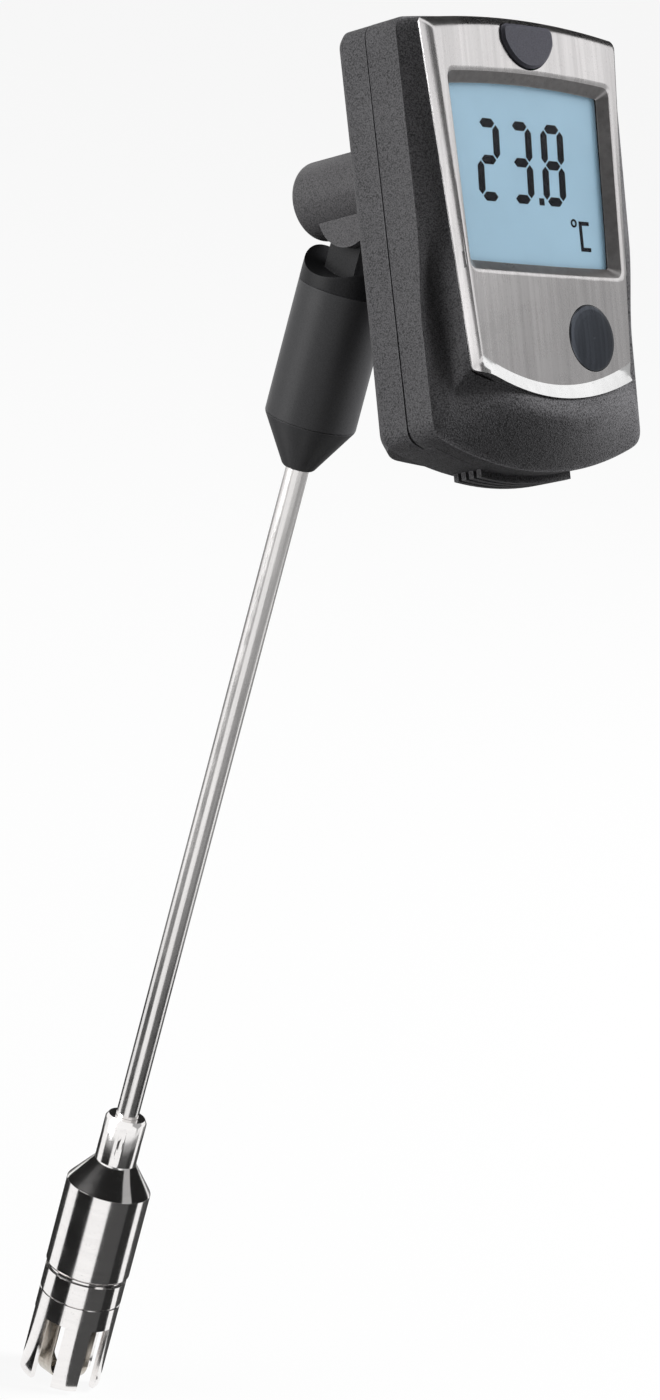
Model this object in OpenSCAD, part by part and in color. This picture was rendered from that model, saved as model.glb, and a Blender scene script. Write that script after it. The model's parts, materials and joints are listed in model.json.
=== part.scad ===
// Surface probe thermometer: a slotted sensor head on a thin stem, a short handle,
// and a display head that tilts on a pin above the handle.
// +Z runs up the probe, X is the display head's left to right, and its front faces -Y.
// The origin is the centre of the plane through the tips of the crown's prongs.

/* [Sensor head] */
// Diameter of the sensor body
sensor_d = 12; // [11:0.1:13]
// Diameter of the slotted crown
crown_d = 11.6; // [11:0.1:12.4]
// Wall of the slotted crown
crown_wall = 0.9; // [0.7:0.05:1.1]
// Number of prongs on the crown
prong_n = 5; // [4:1:6]
// Angle that one slot takes out of the crown
slot_angle = 34; // [24:1:38]
// Length of the slots
slot_len = 9.4; // [8:0.1:10.5]
// Crown band above the slots
crown_band = 3.4; // [3:0.1:4.5]
// Ring between the crown and the body's step
collar_len = 3.8; // [3:0.1:5]
// Length of the body's straight part
body_len = 13.2; // [11:0.1:18]
// Length of the sloping shoulder
shoulder_len = 3.5; // [2.5:0.1:5]
// Diameter of the crimped neck
neck_d = 5.9; // [5.2:0.1:7]
// Length of the crimped neck
neck_len = 6.9; // [5.5:0.1:9]
// Diameter of the ceramic core
core_d = 8.8; // [8.2:0.1:9.2]

/* [Sensor band] */
// Width of each of the two crossed strips
strip_w = 2.6; // [1.6:0.1:3]
// Thickness of a strip
strip_t = 0.25; // [0.2:0.05:0.4]
// Radius at which the legs of the strips stand
leg_r = 3.5; // [3:0.1:3.7]
// How much of the strips' curve is pressed flat at the bottom
strip_sag = 0.25; // [0.15:0.05:0.35]
// How far the band gives when it is pressed on a surface
band_travel = 1; // [0.5:0.1:1.4]

/* [Stem and handle] */
// Diameter of the stem
stem_d = 3.2; // [2.6:0.1:3.6]
// Wall of the stem
stem_wall = 0.4; // [0.25:0.05:0.6]
// Length of bare stem between neck and handle
stem_show = 95.7; // [60:1:140]
// Diameter of the handle
handle_d = 12.5; // [12.3:0.1:14]
// Wall of the handle sleeve
sleeve_wall = 1.5; // [1.2:0.1:2]
// Length of the handle sleeve
sleeve_len = 18.4; // [15:0.1:40]
// Length of the handle's tapered end
cone_len = 6.7; // [5:0.1:10]
// Diameter of the tapered end where the stem comes out
cone_tip_d = 4.6; // [4.4:0.1:6]
// Length of the knuckle from the handle's seam to the pin
knuckle_len = 10.7; // [10.2:0.1:14]

/* [Tilt hinge] */
// Angle between the display's upright and the probe as stored
tilt = 28; // [15:1:32]
// Radius of the hinge pin
pin_r = 1.2; // [1:0.05:1.4]
// Running clearance of the pin in the tongue
pin_gap = 0.04; // [0.02:0.01:0.08]
// Thickness of the knuckle's tongue
tongue_t = 4; // [3.4:0.1:4.2]
// Radius of the tongue's eye
eye_r = 4.2; // [3.6:0.1:4.4]
// Radius of the hollow in the top of the knuckle
saddle_r = 9; // [8.9:0.1:9.6]
// Radius of the arm's cheeks around the pin
cheek_r = 5; // [4.8:0.1:5.4]
// Width across the arm's two cheeks
cheek_w = 7.8; // [7.4:0.1:8.2]
// Thickness of a friction washer
washer_t = 0.25; // [0.2:0.05:0.3]
// Diameter of the round arm on the display head's back
arm_d = 10.7; // [10:0.1:11.2]
// Height of the arm's axis above the pin
arm_rise = 2.65; // [2.2:0.05:2.9]
// Length of the arm behind the pin
arm_tail = 8.6; // [7.5:0.1:8.8]
// Radius of the arm's threaded spigot
spigot_r = 4; // [3.4:0.1:4.4]

/* [Display head] */
// Width at the top
head_w_top = 41.8; // [40:0.2:46]
// Width at the bottom
head_w_low = 40; // [38:0.2:44]
// Height of the top above the pin
head_top = 19.4; // [19:0.1:24]
// Depth of the bottom below the pin
head_low = 38.7; // [38:0.1:44]
// Rise of the curved top edge
top_rise = 1.3; // [0.8:0.1:2]
// Rise of the curved bottom edge
low_rise = 4.3; // [3:0.1:5]
// Radius of the outline's corners
corner_r = 2; // [1.5:0.1:3.5]
// Wall of the plastic shells
wall = 1.4; // [1.2:0.1:1.6]
// Distance from the pin to the flat rear face
rear_gap = 16.8; // [16:0.1:20]
// Depth of the rear shell
rear_depth = 5.2; // [4.6:0.1:6]
// Depth of the front shell's rim
rim_depth = 5.4; // [5:0.1:6]
// Distance from the rear face to the front of the faceplate
plate_stand = 13.8; // [13.6:0.1:16]
// Height of the battery bay behind the rear face
bay_h = 6; // [5.6:0.1:7]
// How far the nose's crest stands in front of the faceplate
nose_out = 1.2; // [0.8:0.1:2]
// Running gap between pieces that slide on each other
slide_gap = 0.15; // [0.1:0.05:0.3]

/* [Faceplate and window] */
// Width of the faceplate at the top
plate_w_top = 36.8; // [35:0.2:38]
// Width of the faceplate at the bottom corners
plate_w_low = 29.6; // [28:0.2:31]
// Thickness of the faceplate's metal
plate_t = 0.8; // [0.6:0.1:1]
// Metal left on each side of the window frame at its top
frame_side = 2.8; // [2.4:0.1:3.6]
// How much narrower the window frame is at its bottom
frame_taper = 1.9; // [1:0.1:3]
// Height of the window frame
frame_h = 25.8; // [24:0.2:27]
// Height of the window frame's middle against the pin
frame_mid = -1.2; // [-2:0.1:0]
// Width of the frame's sloping sides
bevel_w = 1.5; // [1:0.1:2]
// Depth of the frame's sloping sides
bevel_h = 1.4; // [1.1:0.1:1.5]
// Width of the mode button
button_w = 9.6; // [8:0.1:11]
// Height of the mode button
button_h = 5.5; // [4.5:0.1:5.7]
// How far the button stands out of the faceplate
button_out = 0.5; // [0.3:0.1:1]
// Travel of the button
button_travel = 0.5; // [0.3:0.1:0.6]
// Diameter of the round inlay
inlay_d = 8.5; // [6:0.1:9]
// Height of the inlay's middle above the corners of the curled lip
inlay_rise = 4.7; // [4:0.1:6]

/* [Power and electronics] */
// Diameter of a cell
cell_d = 10.5; // [10:0.1:10.5]
// Length of a cell with its nub
cell_len = 44.5; // [40:0.1:44.5]
// Distance between the axes of neighbouring cells
cell_pitch = 10.8; // [10.8:0.1:11.2]
// Thickness of the circuit board
board_t = 0.8; // [0.6:0.1:1]
// Thickness of the display glass
glass_t = 1.5; // [1.2:0.1:1.6]
// Height of a digit
digit_h = 10.6; // [8:0.1:12]
// Width of a digit
digit_w = 4.3; // [3:0.1:5]
// Distance from one digit to the next
digit_pitch = 6.15; // [5.6:0.05:6.6]
// Number of grip ribs under the battery cover
rib_n = 4; // [2:1:5]

/* [Hidden] */
$fn = 72;

fit_gap = 0.05;
seat_gap = 0.1;

// Heights up the probe
crown_top = slot_len + crown_band;
step_z = crown_top + collar_len;
shoulder_z = step_z + body_len;
neck_z = shoulder_z + shoulder_len;
neck_top = neck_z + neck_len;
cone_z = neck_top + stem_show;
sleeve_z = cone_z + cone_len;
seam_z = sleeve_z + sleeve_len;
pin_z = seam_z + knuckle_len;

// Radii and lengths inside the probe
crown_r = crown_d / 2;
crown_in = crown_r - crown_wall;
stem_r = stem_d / 2;
stem_bore = stem_r - stem_wall;
core_r = core_d / 2;
core_foot = crown_top - 0.6;
core_top = shoulder_z - 3;
stem_foot = shoulder_z + 1;
leg_top = core_foot + 2.2;
groove_h = 0.5;
groove_deep = 0.5;
lead_r = 0.3;
lead_x = 0.55;
sleeve_in = handle_d / 2 - sleeve_wall;
spigot_len = 6;
cone_spigot = sleeve_len - spigot_len - 0.1;
stem_top = sleeve_z + cone_spigot - 1;
lead_bore = 1.3;
knuckle_band = knuckle_len - saddle_r - 0.1;
knuckle_draft = 0.15;

// Depths in front of the pin
seam_y = rear_gap + rear_depth;
flange_y = seam_y + rim_depth;
flange_low_y = flange_y - 1;
plate_y = rear_gap + plate_stand;
pod_y = plate_y - plate_t;
edge_y = plate_y - 1.55;
bay_y = rear_gap - bay_h;
nose_y = plate_y + nose_out;
cap_y = flange_low_y - 2.5;
lens_front = plate_y - bevel_h;
lens_t = 0.65;
glass_front = lens_front - lens_t - seat_gap;
glass_back = glass_front - glass_t;
board_front = glass_back - 0.7;
board_back = board_front - board_t;
tray_t = 0.6;
tray_front = board_back - fit_gap;
cell_y = tray_front - tray_t - seat_gap - cell_d / 2;

// Outline of the display head
top_half = head_w_top / 2;
low_half = head_w_low / 2;
top_arc = (top_half * top_half + top_rise * top_rise) / (2 * top_rise);
low_arc = (low_half * low_half + low_rise * low_rise) / (2 * low_rise);
plate_top = head_top - 0.5;
lip_rise = 12.1;
lip_corner = head_low - lip_rise;
lip_drop = 3.3;
lip_h = 1.8;
lip_out = 0.7;
lip_half = plate_w_low / 2;
lip_arc = (lip_half * lip_half + lip_drop * lip_drop) / (2 * lip_drop);
pod_foot = lip_corner + lip_drop + 3;
pod_low = 1.2;
fall_low = 6.6;
fall_step = 5.5;
frame_w_top = plate_w_top - 2 * frame_side;
frame_w_low = frame_w_top - frame_taper;
frame_top = frame_mid + frame_h / 2;
frame_low = frame_mid - frame_h / 2;

// Battery cover
cover_top = -5;
cover_half = 17.4;
cover_travel = 46;
bay_half = cell_pitch + cell_d / 2 + 2.15;
bay_top = 16.2;
bay_foot = head_low - 1.6;
bay_slope = 4.9;
bay_end_slope = 3.4;
rib_half = 8.6;
rib_h = 1;
rib_w = 0.75;
rib_pitch = 1.3;
rib_start = rear_gap + 1.9;

// Cells
cell_nub = 0.9;
cell_nub_r = 2.6;
cell_foot = -bay_foot + 4.1;
cell_top = cell_foot + cell_len;
contact_t = 0.3;
shelf_half = cell_pitch + 4.6;

// Screws and posts
post_x = 12.6;
post_z = head_top - 4;
post_r = 2.1;
screw_r = 0.9;
screw_head_r = 1.7;
screw_head_h = 1.2;
screw_seat = rear_gap + 1.1;
screw_len = 5;

// Inlay and button
// Shoulders and foot of the circuit board
board_shoulder = post_z - post_r - 0.8;
board_foot = -lip_corner + 2.6;
pad_half = frame_w_low / 2 - bevel_w - 0.65;

// Clear width inside the front shell's pod, at its top and at its foot
inner_top = plate_w_top - 2 * (plate_t + 1.6) - 1.2;
inner_low = plate_w_low - 2 * (plate_t + 1.6) - 0.8;
inner_roof = plate_top - plate_t - 2.2;
lead_pad_w = 2;
lead_pad_h = 3;
lead_pad_x = inner_low / 2 - lead_pad_w / 4;
crystal_l = 4.4;
crystal_x = lead_pad_w / 2 + 0.5 - lead_pad_x;

inlay_x = 7;
inlay_z = inlay_rise - lip_corner;
button_top = plate_top - 0.9;
button_mid = button_top - button_h / 2;
switch_z = button_mid - 1.1;

// Digits
digit_x = -7.4;
digit_z = 0.7;
digit_lean = 3.5;
seg_t = 1.15;
seg_gap = 0.22;
unit_x = digit_x + 2 * digit_pitch + digit_w - 0.1;
unit_z = digit_z - digit_h / 2 - 5.6;
ink_t = 0.08;
SHOWN = [[1, 1, 0, 1, 1, 0, 1], [1, 1, 1, 1, 0, 0, 1], [1, 1, 1, 1, 1, 1, 1]];

// Places things in the tilted display head, whose own origin is the pin
module in_head() {
    translate([0, 0, pin_z]) rotate([-tilt, 0, 0]) children();
}

// Extrudes an outline of width and height between two depths in front of the pin
module slab(back, front) {
    translate([0, -back, 0]) rotate([90, 0, 0]) linear_extrude(front - back) children();
}

// Cylinder along the hinge's axis
module cross_rod(r, x0, x1, fn = 72) {
    translate([x0, 0, 0]) rotate([0, 90, 0]) cylinder(r = r, h = x1 - x0, $fn = fn);
}

// Cylinder that runs from one depth to another at a place of the head's face
module depth_rod(r, x, z, back, front, fn = 48) {
    translate([x, -back, z]) rotate([90, 0, 0]) cylinder(r = r, h = front - back, $fn = fn);
}

// Outline of the head, drawn in by an inset
module head_plan(inset = 0) {
    offset(r = corner_r, $fn = 32) offset(delta = -corner_r - inset)
        intersection() {
            polygon([
                [-top_half, head_top], [top_half, head_top],
                [low_half, -head_low], [-low_half, -head_low]
            ]);
            translate([0, head_top - top_arc]) circle(r = top_arc, $fn = 240);
            translate([0, low_arc - head_low]) circle(r = low_arc, $fn = 180);
        }
}

// Trapezium with its top and bottom widths
module taper_plan(top_w, low_w, top, low) {
    polygon([[-top_w / 2, top], [top_w / 2, top], [low_w / 2, low], [-low_w / 2, low]]);
}

// Disc whose lower edge is the curve of the curled lip, grown by a width
module lip_disc(grow = 0) {
    translate([0, lip_arc - lip_corner - lip_drop]) circle(r = lip_arc + grow, $fn = 120);
}

// Outline of the faceplate with its curved top and bottom
module plate_plan(grow = 0) {
    intersection() {
        taper_plan(plate_w_top + 2 * grow, plate_w_low + 2 * grow, head_top, -lip_corner);
        translate([0, plate_top + grow - top_arc]) circle(r = top_arc, $fn = 240);
    }
    intersection() {
        taper_plan(plate_w_low + 2 * grow, plate_w_low + 2 * grow - 1.6, -lip_corner, -pod_foot);
        lip_disc();
    }
}

// Outline of the raised pod of the front shell at its foot
module pod_plan(inset = 0) {
    offset(delta = -inset)
        intersection() {
            taper_plan(head_w_top - 0.6, plate_w_low + 2.4, head_top, -pod_foot);
            translate([0, head_top - 0.2 - top_arc]) circle(r = top_arc, $fn = 240);
            lip_disc(pod_low);
        }
}

// Outline of the pod at the back of the faceplate
module pod_front_plan(inset = 0) {
    offset(delta = -inset)
        intersection() {
            taper_plan(plate_w_top - 0.2, plate_w_low - 1.2, head_top, -pod_foot);
            translate([0, plate_top - 0.2 - top_arc]) circle(r = top_arc, $fn = 240);
            lip_disc(pod_low);
        }
}

// Outline of the window frame, drawn in by an inset
module frame_plan(inset = 0) {
    offset(r = 1.2, $fn = 24) offset(delta = -1.2 - inset)
        taper_plan(frame_w_top, frame_w_low, frame_top, frame_low);
}

// Outline of the battery bay at a share of its height
module bay_plan(share, inset = 0) {
    offset(r = 2, $fn = 24) offset(delta = -2 - inset)
        polygon([
            [-bay_half + bay_slope * share, bay_top - bay_end_slope * share],
            [bay_half - bay_slope * share, bay_top - bay_end_slope * share],
            [bay_half - bay_slope * share, -bay_foot + bay_end_slope * share],
            [-bay_half + bay_slope * share, -bay_foot + bay_end_slope * share]
        ]);
}

// Shield outline of the mode button
module button_plan(grow = 0) {
    offset(r = 1 + grow, $fn = 24) offset(delta = -1)
        intersection() {
            translate([0, button_top - top_arc]) circle(r = top_arc, $fn = 240);
            square([button_w, 2 * head_top], center = true);
            translate([0, button_top + 0.7]) scale([1.12 * button_w / (2 * button_h), 1.14])
                circle(r = button_h, $fn = 60);
        }
}

// Solid form of the back of the head, with rounded rear edges and the battery bay
module rear_form(front) {
    hull() {
        slab(rear_gap, rear_gap + 0.1) head_plan(1.3);
        slab(rear_gap + 0.4, rear_gap + 0.5) head_plan(0.4);
        slab(rear_gap + 1.2, front) head_plan(0);
    }
    intersection() {
        hull() {
            slab(bay_y, bay_y + 0.1) bay_plan(1, 0.8);
            slab(bay_y + 0.6, bay_y + 0.7) bay_plan(0.92);
            slab(rear_gap + 0.1, rear_gap + 0.2) bay_plan(0);
        }
        slab(bay_y - 1, rear_gap + 1) head_plan(0.9);
    }
}

// Room inside the back of the head
module rear_room(front) {
    slab(rear_gap + wall, front + 1) head_plan(wall);
    intersection() {
        hull() {
            slab(bay_y + wall, bay_y + wall + 0.1) bay_plan(0.92, wall);
            slab(rear_gap + wall, rear_gap + wall + 0.1) bay_plan(0, wall);
        }
        slab(bay_y, rear_gap + wall + 1) head_plan(wall + 0.9);
    }
}

// Space that belongs to the battery cover, grown by a gap
module cover_zone(gap = 0) {
    half = cover_half + gap;
    slab(bay_y - 1, rear_gap + wall + 0.01)
        translate([-half, -2 * head_low]) square([2 * half, 2 * head_low + cover_top + gap]);
    slab(rear_gap, cap_y + gap)
        difference() {
            translate([-half, -2 * head_low]) square([2 * half, 2 * head_low - bay_foot + 7.1]);
            head_plan(wall + 0.01);
        }
}

// Upright profile of the front shell's rim, seen from the side
module rim_profile() {
    translate([-head_w_top, 0, 0]) rotate([90, 0, 90]) linear_extrude(2 * head_w_top)
        polygon([
            [-seam_y, head_top + 1], [-flange_y, head_top + 1],
            [-flange_y, fall_low + 2 * fall_step - lip_corner],
            [-(flange_y + flange_low_y) / 2, fall_low + fall_step - lip_corner],
            [-flange_low_y, fall_low - lip_corner], [-flange_low_y, -head_low - 1], [-seam_y, -head_low - 1]
        ]);
}

// Nose along the bottom of the front shell: a curved crest that slopes back to the rim
module nose() {
    crest_r = 1;
    hull() {
        for (t = [-1 : 0.25 : 1])
            translate([16.2 * t, crest_r - nose_y + 4.4 * t * t, 6.1 - head_low + 3.8 * t * t])
                sphere(r = crest_r, $fn = 16);
        slab(flange_low_y - 0.6, flange_low_y)
            intersection() {
                head_plan(0.3);
                translate([-head_w_top, 9.9 - 3 * head_low]) square([2 * head_w_top, 2 * head_low]);
            }
    }
}

// Strip bent into a bow with two legs, across the crown
module bow_strip() {
    foot = 2.6;
    outer = leg_r + strip_t;
    deep = foot + strip_sag;
    rotate([90, 0, 0]) translate([0, 0, -strip_w / 2]) linear_extrude(strip_w)
        difference() {
            union() {
                translate([-outer, foot]) square([2 * outer, leg_top - foot]);
                intersection() {
                    translate([0, foot]) scale([1, deep / outer]) circle(r = outer, $fn = 64);
                    translate([-outer, 0]) square([2 * outer, 2 * foot]);
                }
            }
            translate([-leg_r, foot]) square([2 * leg_r, leg_top]);
            intersection() {
                translate([0, foot]) scale([1, (deep - strip_t) / leg_r]) circle(r = leg_r, $fn = 64);
                translate([-leg_r, strip_t]) square([2 * leg_r, 2 * foot]);
            }
        }
}

// One bar of a digit, between two points, with pointed ends
module bar(p, q) {
    d = q - p;
    n = norm(d);
    u = d / n;
    v = [-u[1], u[0]];
    a = p + u * seg_gap;
    b = q - u * seg_gap;
    h = seg_t / 2;
    polygon([a, a + (u + v) * h, b + (v - u) * h, b, b - (u + v) * h, a + (u - v) * h]);
}

// Seven bars of one digit; each flag shows a bar
module digit(flags) {
    w = digit_w - seg_t;
    h = (digit_h - seg_t) / 2;
    ends = [
        [[0, 2 * h], [w, 2 * h]], [[w, 2 * h], [w, h]], [[w, h], [w, 0]], [[0, 0], [w, 0]],
        [[0, h], [0, 0]], [[0, 2 * h], [0, h]], [[0, h], [w, h]]
    ];
    for (i = [0 : 6])
        if (flags[i] == 1) bar(ends[i][0], ends[i][1]);
}

// All the dark marks of the display: three digits, a point and the degree sign
module marks() {
    lean = tan(digit_lean);
    for (k = [0 : 2])
        multmatrix([[1, lean, 0, digit_x - digit_w / 2 + k * digit_pitch + seg_t / 2],
                    [0, 1, 0, digit_z - digit_h / 2 + seg_t / 2]])
            digit(SHOWN[k]);
    translate([digit_x + 1.5 * digit_pitch, digit_z - digit_h / 2]) square([0.9, 0.9]);
    translate([unit_x - 1, unit_z + 3.6])
        difference() {
            circle(r = 0.55, $fn = 24);
            circle(r = 0.3, $fn = 24);
        }
    translate([unit_x, unit_z])
        difference() {
            square([1.9, 3.9]);
            translate([0.5, 0.5]) square([2, 2.9]);
        }
}

// Sleeve with open slots, which guards the band
module crown_sleeve() color("gainsboro")
    difference() {
        rotate_extrude() polygon([
            [crown_in, 0.25], [crown_in + 0.2, 0], [crown_r - 0.15, 0], [crown_r, 0.2],
            [crown_r, crown_top - 0.25], [crown_r - 0.25, crown_top], [crown_in, crown_top]
        ]);
        for (i = [0 : prong_n - 1])
            rotate([0, 0, 90 + (i + 0.5) * 360 / prong_n - slot_angle / 2])
                translate([0, 0, -1])
                    rotate_extrude(angle = slot_angle) square([sensor_d, slot_len + 1]);
    }

// Turned body with its crimped neck, bored for core, leads and stem
module sensor_body() color("silver")
    difference() {
        rotate_extrude() polygon([
            [core_r + fit_gap, crown_top - 2.6], [crown_in - fit_gap, crown_top - 2.6],
            [crown_in - fit_gap, crown_top], [crown_r + 0.02, crown_top],
            [crown_r + 0.02, step_z - groove_h], [sensor_d / 2 - groove_deep, step_z - groove_h],
            [sensor_d / 2 - groove_deep, step_z], [sensor_d / 2 - 0.3, step_z],
            [sensor_d / 2, step_z + 0.4], [sensor_d / 2, shoulder_z - 0.3],
            [sensor_d / 2 - 0.2, shoulder_z], [neck_d / 2 + 0.1, neck_z], [neck_d / 2, neck_z + 0.1],
            [neck_d / 2, neck_top - 0.6], [neck_d / 2 - 0.35, neck_top], [stem_r + fit_gap, neck_top],
            [stem_r + fit_gap, stem_foot], [stem_bore, stem_foot], [stem_bore, core_top],
            [core_r + fit_gap, core_top]
        ]);
        for (i = [0 : 3])
            rotate([0, 0, 45 + 90 * i]) translate([neck_d / 2 + 0.55, 0, neck_z + neck_len / 2])
                scale([0.5, 0.6, 1.3]) sphere(r = 1.4, $fn = 32);
    }

// Insulator that carries the legs of the strips and the leads
module ceramic_core() color("ivory")
    difference() {
        translate([0, 0, core_foot]) cylinder(r = core_r, h = core_top - core_foot);
        for (a = [0, 90])
            rotate([0, 0, a])
                for (s = [-1, 1])
                    translate([s * (leg_r + strip_t / 2), 0, core_foot])
                        cube([strip_t + 0.3, strip_w + 0.3, 2 * (2.2 + band_travel + 0.3)], center = true);
        for (s = [-1, 1])
            translate([s * lead_x, 0, core_foot - 1])
                cylinder(r = lead_r + fit_gap, h = core_top - core_foot + 2, $fn = 24);
    }

// Two strips of unlike metal that cross under the core
module sensor_strips() color("tan") {
    bow_strip();
    rotate([0, 0, 90]) bow_strip();
}

// Weld where the strips cross
module junction_bead() color("dimgray")
    translate([0, 0, strip_t]) cylinder(r = 0.7, h = 0.35, $fn = 32);

// Thin tube between the sensor head and the handle
module probe_stem() color("lightgray")
    translate([0, 0, stem_foot])
        difference() {
            cylinder(r = stem_r, h = stem_top - stem_foot, $fn = 48);
            translate([0, 0, -1]) cylinder(r = stem_bore, h = stem_top - stem_foot + 2, $fn = 48);
        }

// Pair of insulated wires from the core up into the handle
module thermocouple_leads() color("seagreen")
    for (s = [-1, 1])
        translate([s * lead_x, 0, core_foot + 0.5])
            cylinder(r = lead_r, h = seam_z - 1 - core_foot, $fn = 16);

// Tapered end of the handle, which grips the stem and plugs into the sleeve
module handle_cone() color([0.13, 0.13, 0.14])
    rotate_extrude() polygon([
        [stem_r + fit_gap, cone_z], [cone_tip_d / 2 - 0.3, cone_z], [cone_tip_d / 2, cone_z + 0.3],
        [handle_d / 2, sleeve_z], [sleeve_in - fit_gap, sleeve_z],
        [sleeve_in - fit_gap, sleeve_z + cone_spigot], [lead_bore, sleeve_z + cone_spigot],
        [lead_bore, stem_top + fit_gap], [stem_r + fit_gap, stem_top + fit_gap]
    ]);

// Smooth sleeve of the handle
module handle_sleeve() color([0.17, 0.17, 0.18])
    rotate_extrude() polygon([
        [sleeve_in, sleeve_z], [handle_d / 2, sleeve_z], [handle_d / 2, seam_z], [sleeve_in, seam_z]
    ]);

// Top of the handle: a plug, a hollowed shoulder and the tongue that the pin goes through
module knuckle() color([0.1, 0.1, 0.11])
    difference() {
        union() {
            translate([0, 0, seam_z - spigot_len]) cylinder(r = sleeve_in - fit_gap, h = spigot_len);
            difference() {
                rotate_extrude() polygon([
                    [0, seam_z], [handle_d / 2, seam_z], [handle_d / 2, seam_z + knuckle_band],
                    [handle_d / 2 - knuckle_draft, pin_z], [0, pin_z]
                ]);
                translate([0, 0, pin_z]) cross_rod(saddle_r, -handle_d, handle_d, 144);
            }
            translate([-tongue_t / 2, -eye_r * 0.66, seam_z])
                cube([tongue_t, eye_r * 1.32, knuckle_len]);
            translate([0, 0, pin_z]) cross_rod(eye_r, -tongue_t / 2, tongue_t / 2);
        }
        translate([0, 0, pin_z]) cross_rod(pin_r + pin_gap, -tongue_t, tongue_t);
        translate([0, 0, seam_z - spigot_len - 1]) cylinder(r = lead_bore, h = spigot_len + 2.4, $fn = 32);
    }

// Steel pin of the tilt hinge
module hinge_pin() color("gray")
    in_head() cross_rod(pin_r, -cheek_w / 2 + 0.5, cheek_w / 2 + 0.3, 48);

// Washers that give the hinge its friction
module friction_washers() color("orange")
    in_head()
        for (s = [-1, 1])
            translate([s * (tongue_t / 2 + fit_gap + washer_t / 2), 0, 0])
                difference() {
                    cross_rod(eye_r - 0.7, -washer_t / 2, washer_t / 2, 48);
                    cross_rod(pin_r + pin_gap, -washer_t, washer_t, 48);
                }

// Round arm behind the display head, forked for the tongue and threaded into the rear shell
module tilt_arm() color([0.08, 0.08, 0.09])
    in_head()
        difference() {
            slot_half = tongue_t / 2 + washer_t + 2 * fit_gap;
            reach = max(eye_r, cheek_r) + 0.35;
            arm_r = arm_d / 2;
            union() {
                translate([0, -bay_y, arm_rise]) rotate([-90, 0, 0])
                    rotate_extrude() polygon(concat(
                        [[0, 0], [arm_r, 0]],
                        [for (a = [0 : 10 : 90])
                            [arm_r - 1.2 * (1 - cos(a)), bay_y + arm_tail - 1.2 * (1 - sin(a))]],
                        [[0, bay_y + arm_tail]]
                    ));
                cross_rod(cheek_r, -cheek_w / 2, cheek_w / 2);
                depth_rod(spigot_r, 0, arm_rise, bay_y - 0.5, bay_y + wall + 1.9);
            }
            cross_rod(reach, -slot_half, slot_half);
            translate([-slot_half, -reach, -2 * reach]) cube([2 * slot_half, 2 * reach, 2 * reach]);
            cross_rod(pin_r + 0.02, -cheek_w / 2 + 0.45, arm_r + 1);
            depth_rod(1.2, 0, arm_rise, 0, rear_gap + 2, 32);
        }

// Nut that holds the arm from inside
module arm_nut() color("goldenrod")
    in_head()
        difference() {
            depth_rod(6, 0, arm_rise, bay_y + wall + fit_gap, bay_y + wall + 1.5, 6);
            depth_rod(spigot_r + fit_gap, 0, arm_rise, bay_y, rear_gap);
        }

// Back half of the case, with the fixed upper part of the battery bay
module rear_shell() color([0.16, 0.16, 0.17])
    in_head()
        difference() {
            union() {
                difference() {
                    rear_form(seam_y);
                    rear_room(seam_y);
                }
                for (s = [-1, 1])
                    intersection() {
                        depth_rod(post_r + 0.7, s * post_x, post_z, rear_gap - 2, screw_seat + 1.1);
                        rear_form(seam_y);
                    }
            }
            cover_zone(slide_gap);
            depth_rod(spigot_r + fit_gap, 0, arm_rise, bay_y - 1, bay_y + wall + 1);
            for (s = [-1, 1]) {
                depth_rod(screw_r + 0.15, s * post_x, post_z, rear_gap - 4, rear_gap + 5, 24);
                depth_rod(screw_head_r + 0.15, s * post_x, post_z, bay_y - 1, screw_seat, 32);
            }
        }

// Cover that slides down off the cells, with the ribbed foot of the case
module battery_cover() color([0.14, 0.14, 0.15])
    in_head() {
        intersection() {
            difference() {
                rear_form(cap_y);
                rear_room(cap_y);
            }
            cover_zone();
        }
        for (i = [0 : rib_n - 1])
            slab(rib_start + i * rib_pitch, rib_start + i * rib_pitch + rib_w)
                intersection() {
                    difference() {
                        translate([0, low_arc - head_low]) circle(r = low_arc + rib_h, $fn = 180);
                        translate([0, low_arc - head_low]) circle(r = low_arc - 0.4, $fn = 180);
                    }
                    translate([-rib_half, -2 * head_low]) square([2 * rib_half, 2 * head_low]);
                }
        slab(bay_y + wall - 0.6, bay_y + wall + 0.9) translate([-4, cover_top - 2.4]) square([8, 2.4]);
        slab(bay_y + wall + 0.15, bay_y + wall + 0.9) translate([-4, cover_top - 1]) square([8, 2.1]);
    }

// Solid form of the front of the head
module front_form() {
    intersection() {
        slab(seam_y, flange_y + 1) head_plan(0);
        rim_profile();
    }
    hull() {
        slab(flange_low_y - 0.5, flange_low_y) pod_plan(0.2);
        slab(flange_y - 0.1, flange_y) pod_plan(0);
        slab(edge_y - 0.1, edge_y) pod_front_plan(-0.4);
    }
    slab(edge_y - 0.5, pod_y) pod_front_plan(plate_t + seat_gap);
    nose();
}

// Room inside the front of the head, with a pocket for the feet of the cells
module front_room() {
    slab(seam_y - 1, flange_low_y - wall) head_plan(wall);
    hull() {
        slab(flange_low_y - wall - 0.1, flange_low_y - wall) pod_plan(2.6);
        slab(pod_y - wall - 0.1, pod_y - wall) pod_front_plan(1.6 + plate_t);
    }
    slab(flange_low_y - wall - 0.2, tray_front + fit_gap)
        translate([-cell_pitch - 2.9, cell_foot - 2])
            square([2 * cell_pitch + 5.8, 4 - lip_corner - cell_foot]);
}

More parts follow.
